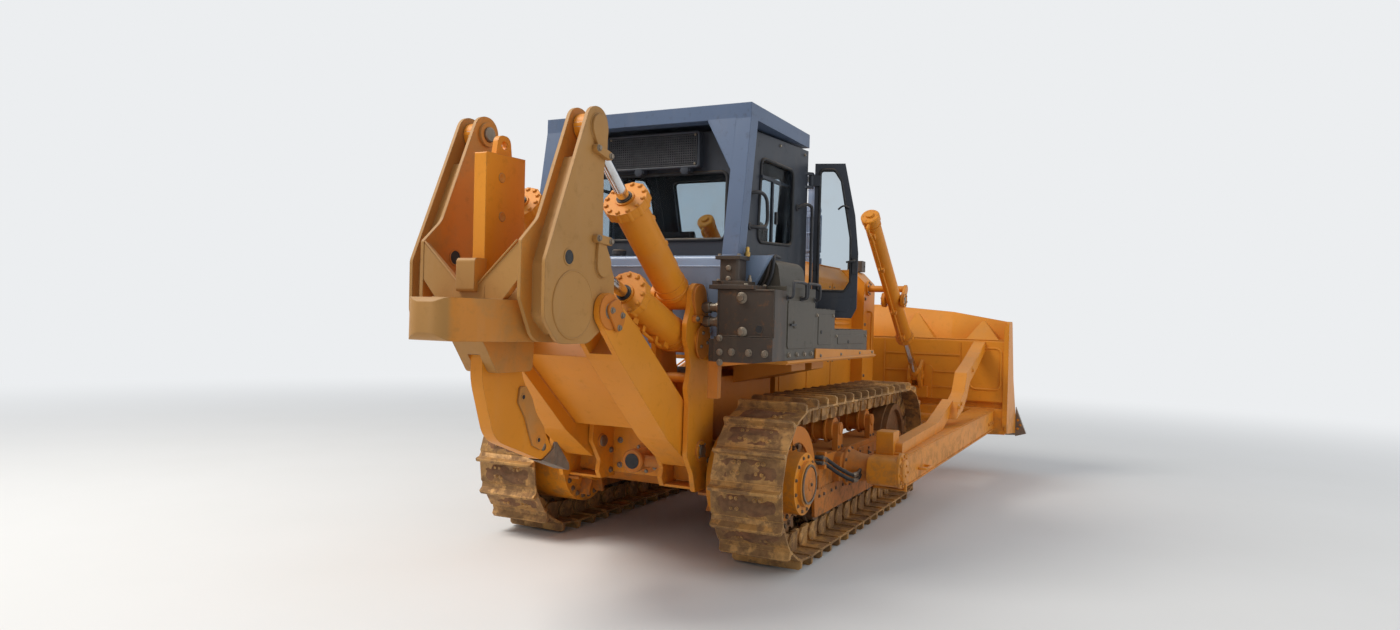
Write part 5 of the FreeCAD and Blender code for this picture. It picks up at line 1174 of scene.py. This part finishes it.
def cushion(name, centre, across, along, size, channels, crown):
    """A crowned pad: flat beneath, its sides drawn in between the corners, with sewn channels on top."""
    half_across, half_along, thick = size[0] / 2, size[1] / 2, size[2]
    out = across.cross(along).normalized()
    form = Form()
    rings = []
    rows = 56
    around = 48
    for row in range(rows + 1):
        v = math.sin(math.pi / 2 * (2 * row / rows - 1))
        end = max(0.02, 1 - abs(v) ** 9) ** 0.5
        ring = []
        for step in range(around):
            angle = 2 * math.pi * step / around
            cos, sin = math.cos(angle), math.sin(angle)
            u = math.copysign(abs(cos) ** 0.42, cos)
            w = math.copysign(abs(sin) ** 0.7, sin)
            pull = 1 - 0.05 * (1 - v * v)
            pull_end = 1 - 0.05 * (1 - u * u)
            level = w * thick * 0.5 * end
            if w > 0:
                level *= 1 + crown * (1 - u * u) * (1 - v * v)
                for place in channels:
                    level *= 1 - 0.3 * math.exp(-((v - place) / 0.035) ** 2)
                level *= 1 - 0.16 * math.exp(-((abs(u) - 0.72) / 0.03) ** 2)
            else:
                level *= 0.85
            ring.append(centre + across * (half_across * u * pull * (0.93 + 0.07 * end))
                        + along * (half_along * v * pull_end) + out * level)
        rings.append(ring)
    form.loops(rings)
    made = form.piece(name, "machine", finishes["seat_fabric"], "seat_fabric", 0, 60)
    smooth = made.modifiers.new("soft", "SUBSURF")
    smooth.levels = 1
    smooth.render_levels = 1
    cord = Form()
    line = []
    for step in range(72):
        angle = 2 * math.pi * step / 72
        u = math.copysign(abs(math.cos(angle)) ** 0.4, math.cos(angle))
        v = math.copysign(abs(math.sin(angle)) ** 0.4, math.sin(angle))
        line.append(centre + across * (half_across * u * (1 - 0.05 * (1 - v * v)))
                    + along * (half_along * v * (1 - 0.05 * (1 - u * u))))
    cord.tube(line, 0.005, 8, True)
    cord.piece(name + "_piping", "machine", finishes["console_plastic"], "console_plastic")
    return made


def dress_inside():
    base = cushion("seat_cushion", spot(0.53, 0, 1.968), left, -ahead, (0.47, 0.44, 0.12), (-0.3, 0.3), 0.25)
    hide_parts("seat")
    lean = (spot(0.19, 0, 2.6) - spot(0.3, 0, 2.07)).normalized()
    cushion("seat_back", spot(0.245, 0, 2.335), left, lean, (0.44, 0.52, 0.105), (-0.45, 0.0, 0.45), 0.25)
    stand = Form()
    for level in range(6):
        z = 1.63 + 0.035 * level
        grow = 0.015 if level % 2 else 0.0
        stand.prism("z", rounded([(0.37 - grow, -0.15 - grow, 0.03), (0.66 + grow, -0.15 - grow, 0.03),
                                  (0.66 + grow, 0.15 + grow, 0.03), (0.37 - grow, 0.15 + grow, 0.03)]), z, z + 0.036)
    stand.prism("z", rounded([(0.3, -0.21, 0.04), (0.74, -0.21, 0.04), (0.74, 0.21, 0.04), (0.3, 0.21, 0.04)]),
                1.846, 1.906)
    stand.prism("z", rounded([(0.34, -0.17, 0.02), (0.69, -0.17, 0.02), (0.69, 0.17, 0.02), (0.34, 0.17, 0.02)]),
                1.605, 1.632)
    back = [(0.235, 2.0), (0.27, 1.98), (0.165, 2.58), (0.13, 2.58)]
    stand.prism("y", back, -0.19, 0.19)
    for side in (-1, 1):
        stand.prism("y", rounded([(0.3, 2.14, 0.02), (0.7, 2.14, 0.02), (0.7, 2.19, 0.02), (0.3, 2.19, 0.02)]),
                    *sorted((side * 0.27, side * 0.35)))
        stand.prism("y", [(0.4, 1.9), (0.52, 1.9), (0.5, 2.15), (0.42, 2.15)], *sorted((side * 0.29, side * 0.33)))
        stand.prism("z", [(0.4, side * 0.2), (0.52, side * 0.2), (0.52, side * 0.33), (0.4, side * 0.33)],
                    1.88, 1.91)
        stick = [spot(0.66, side * 0.31, 2.19), spot(0.665, side * 0.31, 2.25), spot(0.68, side * 0.31, 2.31)]
        stand.tube(stick, 0.01, 10)
        stand.lathe(stick[-1] - up * 0.02, up + ahead * 0.2,
                    [(0.018, 0), (0.026, 0.02), (0.027, 0.06), (0.02, 0.09), (0.0, 0.1)], 20)
    # console: a hooded panel with gauges, and pedals on the floor
    stand.prism("y", [(1.1, 2.325), (1.235, 2.325), (1.25, 2.37), (1.215, 2.4), (1.13, 2.34)], -0.3, 0.3)
    for y in (-0.18, -0.06, 0.06, 0.18):
        at = spot(1.168, y, 2.372)
        collar(stand, at, Vector((-0.6, 0, 0.8)), 0.034, 0.042, -0.01, 0.006, 24)
    for y in (-0.22, 0.0, 0.22):
        brick(stand, spot(0.98, y, 1.72), Vector((0.5, 0, 0.86)), Vector((-0.86, 0, 0.5)), (0.16, 0.11, 0.02))
        stand.tube([spot(1.0, y, 1.71), spot(1.09, y, 1.63)], 0.012, 10)
    stand.block((0.0, -0.5, 1.605), (1.05, 0.5, 1.612))
    stand.piece("seat_stand_and_controls", "machine", finishes["console_plastic"], "console_plastic", 0.002)
    faces = Form()
    for y in (-0.18, -0.06, 0.06, 0.18):
        faces.lathe(spot(1.168, y, 2.372), Vector((-0.6, 0, 0.8)), [(0.034, -0.004), (0.034, 0.001), (0.0, 0.001)], 24)
    faces.piece("gauge_faces", "machine", lens, "glass")


dress_frames()
dress_cab()
dress_inside()

# Hood, radiator guard, exhaust, air cleaner and lamps

def dress_front():
    panels = Form()
    bolts = Form()
    slats = Form()
    dark = Form()
    for tag, side in sides:
        out = left * side
        for low, high in ((1.5, 2.2), (2.26, 2.96), (3.02, 3.72)):
            door = rounded([(low, 1.66, 0.03), (high, 1.66, 0.03), (high, 2.3, 0.03), (low, 2.3, 0.03)])
            on_side(panels, door, 0.479, 0.009, side)
            skirt = rounded([(low, 1.02, 0.03), (high, 1.02, 0.03), (high, 1.5, 0.03), (low, 1.5, 0.03)])
            on_side(panels, skirt, 0.479, 0.009, side)
            for row in range(9):
                z = 2.22 - 0.058 * row
                slot = [(side * 0.487, z), (side * 0.508, z - 0.03), (side * 0.487, z - 0.034)]
                panels.prism("x", slot, low + 0.09, high - 0.09)
            for x in (low + 0.045, high - 0.045):
                for z in (1.08, 1.44, 1.72, 2.25):
                    bolts.bolt(spot(x, side * 0.488, z), out, 0.01)
            dark.disc(spot((low + high) / 2, side * 0.488, 1.7), out, 0.022, 0.012, 18, 0.003)
        panels.tube([spot(1.43, side * 0.325, 2.499), spot(3.77, side * 0.325, 2.499)], 0.007, 8)
        for x in (1.6, 2.1, 3.2, 3.6):
            bolts.bolt(spot(x, side * 0.29, 2.5), up, 0.012)
        # guard: flange bolts, a side hand hold and hinge barrels
        for z in (0.95, 1.25, 1.55, 1.85, 2.15):
            bolts.bolt(spot(3.83, side * 0.62, z), out, 0.016)
            bolts.bolt(spot(4.23, side * 0.565, z), ahead, 0.016)
        hold = [(3.95, 0.62, 1.5), (3.95, 0.665, 1.51), (3.95, 0.67, 1.6), (3.95, 0.67, 1.9), (3.95, 0.665, 1.99),
                (3.95, 0.62, 2.0)]
        panels.tube(curve_through([spot(x, side * y, z) for x, y, z in hold], 4), 0.013, 12)
        # yoke trunnions
        for level, face in ((1.086, 1), (0.844, -1)):
            at = spot(3.82, side * level, 2.143)
            collar(panels, at, out * face, 0.05, 0.083, 0, 0.012)
            bolts.bolt_ring(at + out * face * 0.012, out * face, 0.066, 6, 0.0085)
            bolts.lathe(at, out * face, [(0.044, 0), (0.044, 0.008), (0.036, 0.012), (0.0, 0.012)], 24)
        panels.disc(spot(3.93, side * 0.62, 2.28), out, 0.09, 0.02, 28)
        bolts.bolt_ring(spot(3.93, side * 0.64, 2.28), out, 0.068, 6, 0.011)
    width = 0.524
    for step in range(24):
        z = 1.03 + 1.17 * (step + 0.5) / 24
        slats.loops([[spot(4.192, y, z - 0.012), spot(4.204, y, z - 0.018), spot(4.206, y, z - 0.012),
                      spot(4.194, y, z + 0.008)] for y in (-width, width)])
    # a dark sheet behind the slats: the core's own dark colour and painted shade of the deep recess
    dark.block((4.1905, -width, 1.0), (4.193, width, 2.22))
    edge = rounded([(-0.53, 0.995, 0.03), (0.53, 0.995, 0.03), (0.53, 2.225, 0.03), (-0.53, 2.225, 0.03)])
    panels.tube([spot(4.232, y, z) for y, z in edge], 0.012, 8, True)
    panels.tube([spot(3.785, y, z) for y, z in ((-0.62, 2.33), (-0.47, 2.48), (0.47, 2.48), (0.62, 2.33))], 0.008, 8)
    for side in (-1, 1):
        brick(panels, spot(4.19, side * 0.2, 0.9), ahead, up, (0.1, 0.05, 0.12))
        collar(panels, spot(4.235, side * 0.2, 0.9), ahead, 0.02, 0.034, 0, 0.02)
    # exhaust: bands, clamp bolts and a guard of upright bars
    stack = Form()
    stack_x, stack_y = 2.9, -0.28
    for z in (2.575, 2.82, 3.07):
        collar(stack, spot(stack_x, stack_y, z), up, 0.084, 0.09, 0, 0.03)
        stack.bolt(spot(stack_x - 0.0895, stack_y, z + 0.015), -ahead, 0.009)
    collar(stack, spot(stack_x, stack_y, 3.12), up, 0.058, 0.066, 0, 0.03)
    ring_bead(stack, spot(stack_x, stack_y, 3.31), up, 0.061, 0.005)
    for step in range(14):
        angle = math.radians(100 + 160 * step / 13)
        x = stack_x + 0.104 * math.cos(angle)
        y = stack_y + 0.104 * math.sin(angle)
        stack.tube([spot(x, y, 2.62), spot(x, y, 3.03)], 0.0055, 8)
    for z in (2.64, 2.83, 3.01):
        arc = [spot(stack_x + 0.104 * math.cos(math.radians(100 + 160 * step / 13)),
                    stack_y + 0.104 * math.sin(math.radians(100 + 160 * step / 13)), z) for step in range(14)]
        stack.tube(arc, 0.007, 8)
    lip = spot(2.9 - 0.11, stack_y, 3.32)
    tip_angle = math.radians(70)
    centre = lip + Vector((math.cos(tip_angle), 0, math.sin(tip_angle))) * 0.11
    normal = Vector((-math.sin(tip_angle), 0, math.cos(tip_angle)))
    ring_bead(stack, centre, normal, 0.06, 0.005)
    # a black disc just inside the pipe's mouth: painted shade in the open pipe, along with its soot
    dark.lathe(centre + normal * 0.001, normal, [(0.056, 0), (0.056, 0.001), (0.0, 0.001)], 24)
    # air cleaner: upright vanes, a band and a wing nut
    air = Form()
    place = spot(2.45, 0.24, 0)
    for step in range(28):
        angle = 2 * math.pi * step / 28
        out = Vector((math.cos(angle), math.sin(angle), 0))
        brick(air, place + out * 0.151 + up * 2.765, out, up, (0.012, 0.008, 0.12))
    for z in (2.69, 2.835):
        collar(air, place + up * z, up, 0.148, 0.16, 0, 0.016, 48)
    air.lathe(place + up * 2.92, up, [(0.02, 0), (0.02, 0.012), (0.012, 0.016), (0.012, 0.03)], 16)
    brick(air, place + up * 2.945, ahead, up, (0.07, 0.008, 0.018))
    collar(air, place + up * 2.6, up, 0.069, 0.077, 0, 0.02)
    # lamps
    glass = Form()
    for x, y, z, wide, tall in [(1.01, y, 3.415, 0.16, 0.11) for y in (-0.62, 0.62)] \
            + [(4.14, y, 2.545, 0.18, 0.13) for y in (-0.43, 0.43)]:
        a, b = wide / 2 - 0.012, tall / 2 - 0.01
        outline = rounded([(y - a, z - b, 0.02), (y + a, z - b, 0.02), (y + a, z + b, 0.02), (y - a, z + b, 0.02)])
        dark.tube([spot(x + 0.002, v, w) for v, w in outline], 0.009, 8, True)
        inner = [(y + (v - y) * 0.94, z + (w - z) * 0.92) for v, w in outline]
        bulge = [(y + (v - y) * 0.6, z + (w - z) * 0.6) for v, w in outline]
        glass.loops([[spot(x + 0.0005, v, w) for v, w in inner], [spot(x + 0.005, v, w) for v, w in inner],
                     [spot(x + 0.009, v, w) for v, w in bulge]])
        for v in (y - a - 0.004, y + a + 0.004):
            dark.disc(spot(x - 0.04, v, z), left * math.copysign(1, v - y), 0.016, 0.012, 16, 0.003)
    panels.piece("hood_panels", "machine", finishes["body_paint"], "body_paint", 0.002)
    bolts.piece("front_bolts", "machine", finishes["pin_steel"], "pin_steel")
    slats.piece("radiator_slats", "machine", finishes["dark_paint"], "dark_paint")
    # lamp rims and brackets, panel latches, and the painted shade of the radiator recess and the exhaust's mouth
    dark.piece("front_trim_and_painted_shade", "machine", rubber_and_shade, "console_plastic")
    stack.piece("exhaust_guard", "machine", finishes["exhaust_steel"], "exhaust_steel")
    air.piece("air_cleaner_vanes", "machine", finishes["dark_paint"], "dark_paint")
    glass.piece("lamp_lenses", "machine", lens, "glass")


# Blade and push arms

def edge_x(y):
    share = max(0.0, (abs(y) - 1.35) / 0.73)
    return 5.62 + 0.37 * share


def dress_blade():
    plates = Form()
    bolts = Form()
    steel = Form()
    for step in range(-13, 14):
        y = step * 0.1505
        slope = Vector((edge_x(y + 0.01) - edge_x(y - 0.01), 0.02, 0)).normalized()
        rise = Vector((-0.11, 0, 0.26)).normalized()
        normal = slope.cross(rise)
        normal = normal if normal.x > 0 else -normal
        for share in (0.5, 0.82):
            at = spot(edge_x(y) - 0.11 * share, y, 0.45 + 0.26 * share)
            steel.lathe(at, normal, [(0.021, -0.004), (0.021, 0.002), (0.013, 0.005), (0.0, 0.0055)], 16)
    for side in (-1, 1):
        for y, z in ((2.11, 0.55), (2.11, 0.66), (2.14, 0.6)):
            bolts.bolt(spot(5.86, side * y, z), -ahead, 0.014)
    for tag, side in sides:
        out = left * side
        frame_line = rounded([(1.62, 1.09, 0.07), (1.99, 1.09, 0.07), (1.99, 1.6, 0.07), (1.62, 1.6, 0.07)])
        plates.tube([spot(5.073, side * y, z) for y, z in frame_line], 0.014, 8, True)
        plates.block((5.0, min(side * 0.86, side * 1.11), 0.95), (5.08, max(side * 0.86, side * 1.11), 1.09))
        doubler = rounded([(1.055, 0.94, 0.03), (1.16, 0.94, 0.03), (1.16, 1.36, 0.05), (1.055, 1.36, 0.05)])
        plates.prism("x", [(side * y, z) for y, z in doubler], 5.056, 5.08)
        for offset, face in ((0.0843, 1), (-0.0843, -1)):
            at = spot(4.99, side * 0.965 + offset, 1.225)
            plates.lathe(at, left * face, [(0.062, 0), (0.062, 0.01), (0.05, 0.014), (0.0, 0.014)], 28)
            bolts.bolt(at + left * face * 0.014 + up * 0.03, left * face, 0.01)
            bolts.bolt(at + left * face * 0.014 - up * 0.03, left * face, 0.01)
        for y in (0.54, 1.5):
            plates.tube([spot(5.068, side * y, 1.0), spot(5.068, side * y, 1.66)], 0.008, 8)
        plates.tube([spot(5.08, side * y, 1.702) for y in (0.0, 2.05)], 0.007, 8)
        # arm: trunnion cap, end frame, step lug and seams
        cap = spot(1.15, side * 1.75, 0.62)
        plates.lathe(cap, out, [(0.15, -0.005), (0.15, 0.022), (0.14, 0.028), (0.105, 0.028), (0.1, 0.05),
                                (0.09, 0.056), (0.0, 0.056)], 40)
        bolts.bolt_ring(cap + out * 0.028, out, 0.126, 10, 0.013)
        bolts.bolt_ring(cap + out * 0.056, out, 0.05, 3, 0.01)
        ring = [(1.305, 1.492, 0.435), (1.305, 1.758, 0.435), (1.305, 1.758, 0.739), (1.305, 1.492, 0.739)]
        plates.tube([spot(x, side * y, z) for x, y, z in ring], 0.016, 8, True)
        far = 1.75 + 0.17
        for low, high in ((0.46, 0.607), (0.716, 0.834)):
            plates.tube([spot(1.36, side * 1.757, low), spot(5.03, side * (far + 0.006), high)], 0.007, 8)
        lug = [spot(1.75, side * 1.77, 0.56), spot(1.76, side * 1.82, 0.56), spot(1.79, side * 1.835, 0.56),
               spot(1.92, side * 1.84, 0.56), spot(1.95, side * 1.825, 0.56), spot(1.96, side * 1.78, 0.56)]
        plates.tube(curve_through(lug, 4), 0.012, 10)
        for x in (4.8, 4.9, 5.0):
            share = (x - 1.31) / (5.075 - 1.31)
            at = spot(x, side * (1.75 + 0.17 * share), 0.62 + 0.07 * share)
            bolts.bolt(at, out, 0.018)
    # brace side: lap joint, hose guard rail and pivot boss; strut side: gland and ports
    for x, z, size in ((3.42, 0.99, 0.02), (3.56, 1.02, 0.02), (4.2, 1.36, 0.022)):
        bolts.bolt(spot(x, -1.80, z), -left, size)
        plates.disc(spot(x, -1.795, z), -left, size * 2, 0.008, 24, 0.003)
    line = [spot(4.36, -1.78, 1.45), spot(4.62, -1.8, 1.53), spot(4.85, -1.79, 1.6), spot(5.02, -1.77, 1.62)]
    plates.tube(curve_through(line, 4), 0.012, 8)
    start = spot(3.0, 1.745, 0.9546)
    finish = spot(5.045, 1.745, 1.6)
    axis = (finish - start).normalized()
    joint = start + axis * (finish - start).length * 0.55
    collar(plates, joint, axis, 0.044, 0.094, -0.05, 0.0)
    bolts.bolt_ring(joint, axis, 0.078, 8, 0.01)
    ring_bead(plates, start + axis * 0.15, axis, 0.078, 0.008)
    collar(plates, joint, axis, 0.0435, 0.056, 0.0, 0.01)
    rise = Vector((-axis.z, 0, axis.x))
    pipe = [start + axis * 0.2 + rise * 0.07, start + axis * 0.22 + rise * 0.1, start + axis * 0.3 + rise * 0.105,
            joint - axis * 0.15 + rise * 0.105, joint - axis * 0.09 + rise * 0.1, joint - axis * 0.08 + rise * 0.07]
    plates.tube(curve_through(pipe, 4), 0.012, 10)
    plates.piece("blade_plates", "blade_assembly", finishes["body_paint"], "body_paint", 0.003)
    bolts.piece("blade_bolts", "blade_assembly", finishes["body_paint"], "body_paint")
    steel.piece("edge_bolts", "blade_assembly", finishes["edge_steel"], "edge_steel")


# Undercarriage

def dress_undercarriage():
    paint = Form()
    bolts = Form()
    hub = Form()
    steel = Form()
    pipes = Form()
    for tag, side in sides:
        out = left * side
        axle = spot(0, 0, 0.637)
        for level, face in ((1.112, 1), (1.028, -1)):
            at = axle + out * level
            for step in range(27):
                angle = 2 * math.pi * (step + 0.5) / 27
                place = at + Vector((math.cos(angle), 0, math.sin(angle))) * (0.41 if step % 3 else 0.385)
                bolts.bolt(place, out * face, 0.019, angle)
            for step in range(9):
                angle = 2 * math.pi * step / 9
                along = Vector((math.cos(angle), 0, math.sin(angle)))
                brick(hub, at + along * 0.4, along, out * face, (0.1, 0.006, 0.003))
        ring = axle + out * 1.172
        bolts.bolt_ring(ring, out, 0.265, 16, 0.017)
        ring_bead(hub, axle + out * 1.173, out, 0.2375, 0.006, 56)
        bolts.bolt_ring(axle + out * 1.315, out, 0.206, 12, 0.012)
        collar(steel, axle + out * 1.345, out, 0.135, 0.15, -0.004, 0.014, 48)
        hub.lathe(axle + out * 1.345, out, [(0.13, 0), (0.13, 0.008), (0.115, 0.014), (0.05, 0.014), (0.045, 0.02),
                                            (0.0, 0.02)], 40)
        bolts.bolt(axle + out * 1.365, out, 0.012)
        bolts.bolt_ring(axle + out * 0.65, -out, 0.305, 22, 0.018)
        for step in range(8):
            angle = 2 * math.pi * (step + 0.5) / 8
            along = Vector((math.cos(angle), 0, math.sin(angle)))
            brick(hub, axle + out * 0.6 + along * 0.235, out, along, (0.1, 0.025, 0.13))
        # roller guards: bolts, and a weld line along the frame
        for index in range(7):
            x = 0.64 + (2.52 - 0.64) / 6 * index
            for reach in (-0.06, 0.06):
                bolts.bolt(spot(x + reach, side * 1.23, 0.44), out, 0.013)
        paint.tube([spot(0.62, side * 1.232, 0.5), spot(2.62, side * 1.232, 0.5)], 0.007, 8)
        for x in (1.08, 2.06):
            z = 0.9414 if x < 1.5 else 0.928
            bolts.bolt_ring(spot(x, side * 1.238, z), out, 0.032, 3, 0.009)
            paint.disc(spot(x, side * 1.236, z), out, 0.05, 0.012, 24, 0.003)
            for reach in (-0.045, 0.045):
                bolts.bolt(spot(x + reach, side * 1.238, 0.79), out, 0.012)
        # idler: shaft blocks, tensioner cover and its grease fitting
        at = spot(3.15, side * 1.232, 0.622)
        paint.lathe(at, out, [(0.075, 0), (0.075, 0.012), (0.068, 0.016), (0.0, 0.016)], 32)
        bolts.bolt_ring(at + out * 0.016, out, 0.052, 4, 0.012)
        for x in (2.8, 2.92):
            for z in (0.56, 0.68):
                bolts.bolt(spot(x, side * 1.232, z), out, 0.014)
        cover = rounded([(1.62, 0.56, 0.04), (2.3, 0.56, 0.04), (2.3, 0.71, 0.04), (1.62, 0.71, 0.04)])
        on_side(paint, cover, 1.229, 0.012, side)
        for x in (1.67, 1.96, 2.25):
            for z in (0.59, 0.68):
                bolts.bolt(spot(x, side * 1.241, z), out, 0.011)
        steel.lathe(spot(1.96, side * 1.241, 0.635), out, [(0.02, 0), (0.02, 0.01), (0.008, 0.012), (0.008, 0.03),
                                                           (0.0, 0.032)], 16)
        # pivot bearing on the frame and pipes that run to it
        at = spot(1.15, side * 1.29, 0.62)
        paint.lathe(at, out, [(0.17, -0.002), (0.17, 0.02), (0.15, 0.03), (0.12, 0.12), (0.11, 0.205), (0.1, 0.205)],
                    36)
        bolts.bolt_ring(at + out * 0.024, out, 0.152, 10, 0.014)
        for shift in (0.0, 0.045):
            line = [(0.46, 1.225, 0.73 + shift), (0.48, 1.27, 0.728 + shift), (0.54, 1.285, 0.715 + shift),
                    (0.66, 1.29, 0.67 + shift), (0.8, 1.33, 0.6 + shift), (0.92, 1.4, 0.54 + shift),
                    (1.0, 1.43, 0.545 + shift), (1.05, 1.435, 0.575 + shift)]
            points = curve_through([spot(x, side * y, z) for x, y, z in line], 5)
            pipes.tube(points, 0.016, 12)
            for at, after in ((points[8], points[9]), (points[-9], points[-8])):
                steel.lathe(at, (after - at).normalized(), [(0.02, -0.03), (0.022, -0.02), (0.022, 0.02), (0.02, 0.03)],
                            6)
        brick(paint, spot(0.52, side * 1.262, 0.745), ahead, up, (0.05, 0.075, 0.14))
        bolts.bolt(spot(0.52, side * 1.3, 0.745), out, 0.012)
    paint.piece("frame_fittings", "machine", finishes["frame_paint"], "frame_paint", 0.003)
    hub.piece("hub_details", "machine", finishes["frame_paint"], "frame_paint")
    bolts.piece("undercarriage_bolts", "machine", finishes["roller_steel"], "roller_steel")
    steel.piece("pipe_fittings", "machine", finishes["pin_steel"], "pin_steel")
    pipes.piece("pivot_pipes", "machine", rubber_and_shade, "console_plastic")


dress_front()
dress_blade()
dress_undercarriage()


# Stage, light and camera

floor = Form()
floor.loops([[Vector((-90, -90, -0.02)), Vector((90, -90, -0.02)), Vector((90, 90, -0.02)),
              Vector((-90, 90, -0.02))],
             [Vector((-90, -90, 0)), Vector((90, -90, 0)), Vector((90, 90, 0)), Vector((-90, 90, 0))]])
background = linear(236, 238, 240)
floor_finish = Finish("studio_floor")
floor_finish.colour(floor_finish.mix(floor_finish.noise(0.7, 3.0), linear(230, 229, 226), linear(235, 234, 232)))
floor_finish.rough(0.85)
floor_finish.set(Specular_IOR_Level=0.2)
seen_light = floor_finish.node("ShaderNodeEmission")
seen_light.inputs["Color"].default_value = background
away = floor_finish.node("ShaderNodeVectorMath", operation="LENGTH")
floor_finish.join(floor_finish.place, away.inputs[0])
paths = floor_finish.node("ShaderNodeLightPath")
direct = floor_finish.math("MAXIMUM", paths.outputs["Is Camera Ray"], paths.outputs["Is Glossy Ray"])
direct = floor_finish.math("MAXIMUM", direct, paths.outputs["Is Transmission Ray"])
fade = floor_finish.math("MULTIPLY", floor_finish.span(away.outputs["Value"], 5.0, 19.0), direct)
floor_mix = floor_finish.node("ShaderNodeMixShader")
floor_finish.join(fade, floor_mix.inputs[0])
floor_finish.join(floor_finish.shader.outputs[0], floor_mix.inputs[1])
floor_finish.join(seen_light.outputs[0], floor_mix.inputs[2])
floor_finish.join(floor_mix.outputs[0], floor_finish.output.inputs[0])
mesh = bpy.data.meshes.new("floor")
mesh.from_pydata(floor.verts, [], floor.faces)
mesh.materials.append(floor_finish.material)
floor_object = bpy.data.objects.new("floor", mesh)
bpy.context.scene.collection.objects.link(floor_object)

world = bpy.data.worlds.new("studio")
world.use_nodes = True
bpy.context.scene.world = world
tree = world.node_tree
tree.nodes.clear()
world_output = tree.nodes.new("ShaderNodeOutputWorld")
seen = tree.nodes.new("ShaderNodeBackground")
seen.inputs["Color"].default_value = background
seen.inputs["Strength"].default_value = 1.0
glow = tree.nodes.new("ShaderNodeBackground")
glow.inputs["Color"].default_value = linear(226, 232, 240)
glow.inputs["Strength"].default_value = 0.55
ray = tree.nodes.new("ShaderNodeLightPath")
mirrored_ray = tree.nodes.new("ShaderNodeMath")
mirrored_ray.operation = "MAXIMUM"
tree.links.new(ray.outputs["Is Glossy Ray"], mirrored_ray.inputs[0])
tree.links.new(ray.outputs["Is Transmission Ray"], mirrored_ray.inputs[1])
either = tree.nodes.new("ShaderNodeMath")
either.operation = "MAXIMUM"
tree.links.new(ray.outputs["Is Camera Ray"], either.inputs[0])
tree.links.new(mirrored_ray.outputs[0], either.inputs[1])
blend = tree.nodes.new("ShaderNodeMixShader")
tree.links.new(either.outputs[0], blend.inputs[0])
tree.links.new(glow.outputs[0], blend.inputs[1])
tree.links.new(seen.outputs[0], blend.inputs[2])
tree.links.new(blend.outputs[0], world_output.inputs[0])


def soft_lamp(name, place, target, size, power, tint):
    lamp = bpy.data.lights.new(name, "AREA")
    lamp.size = size
    lamp.energy = power
    lamp.color = tint
    holder = bpy.data.objects.new(name, lamp)
    holder.location = place
    holder.rotation_euler = (target - place).to_track_quat("-Z", "Y").to_euler()
    bpy.context.scene.collection.objects.link(holder)


soft_lamp("key", spot(-6.0, 6.5, 12.0), spot(1, 0, 1.2), 6.0, 1500, (1.0, 0.97, 0.92))
soft_lamp("side", spot(3.0, -12.0, 6.0), spot(2, 0, 1.2), 9.0, 300, (0.95, 0.98, 1.0))

camera_place = spot(-6.417, -3.617, 1.868)
yaw = math.radians(26.745)
pitch = math.radians(0.199)
roll = math.radians(1.681)
sight = Vector((math.cos(pitch) * math.cos(yaw), math.cos(pitch) * math.sin(yaw), math.sin(pitch)))
level = sight.cross(up).normalized()
upright = level.cross(sight)
camera_x = level * math.cos(roll) + upright * math.sin(roll)
camera_y = upright * math.cos(roll) - level * math.sin(roll)
camera = bpy.data.cameras.new("camera")
camera.sensor_width = 36.0
camera.lens = 893.4 / 1400 * 36.0
camera.clip_end = 400.0
holder = bpy.data.objects.new("camera", camera)
holder.matrix_world = Matrix((
    (camera_x.x, camera_y.x, -sight.x, camera_place.x),
    (camera_x.y, camera_y.y, -sight.y, camera_place.y),
    (camera_x.z, camera_y.z, -sight.z, camera_place.z),
    (0, 0, 0, 1)))
bpy.context.scene.collection.objects.link(holder)
bpy.context.scene.camera = holder
bpy.context.scene.view_settings.view_transform = "Standard"
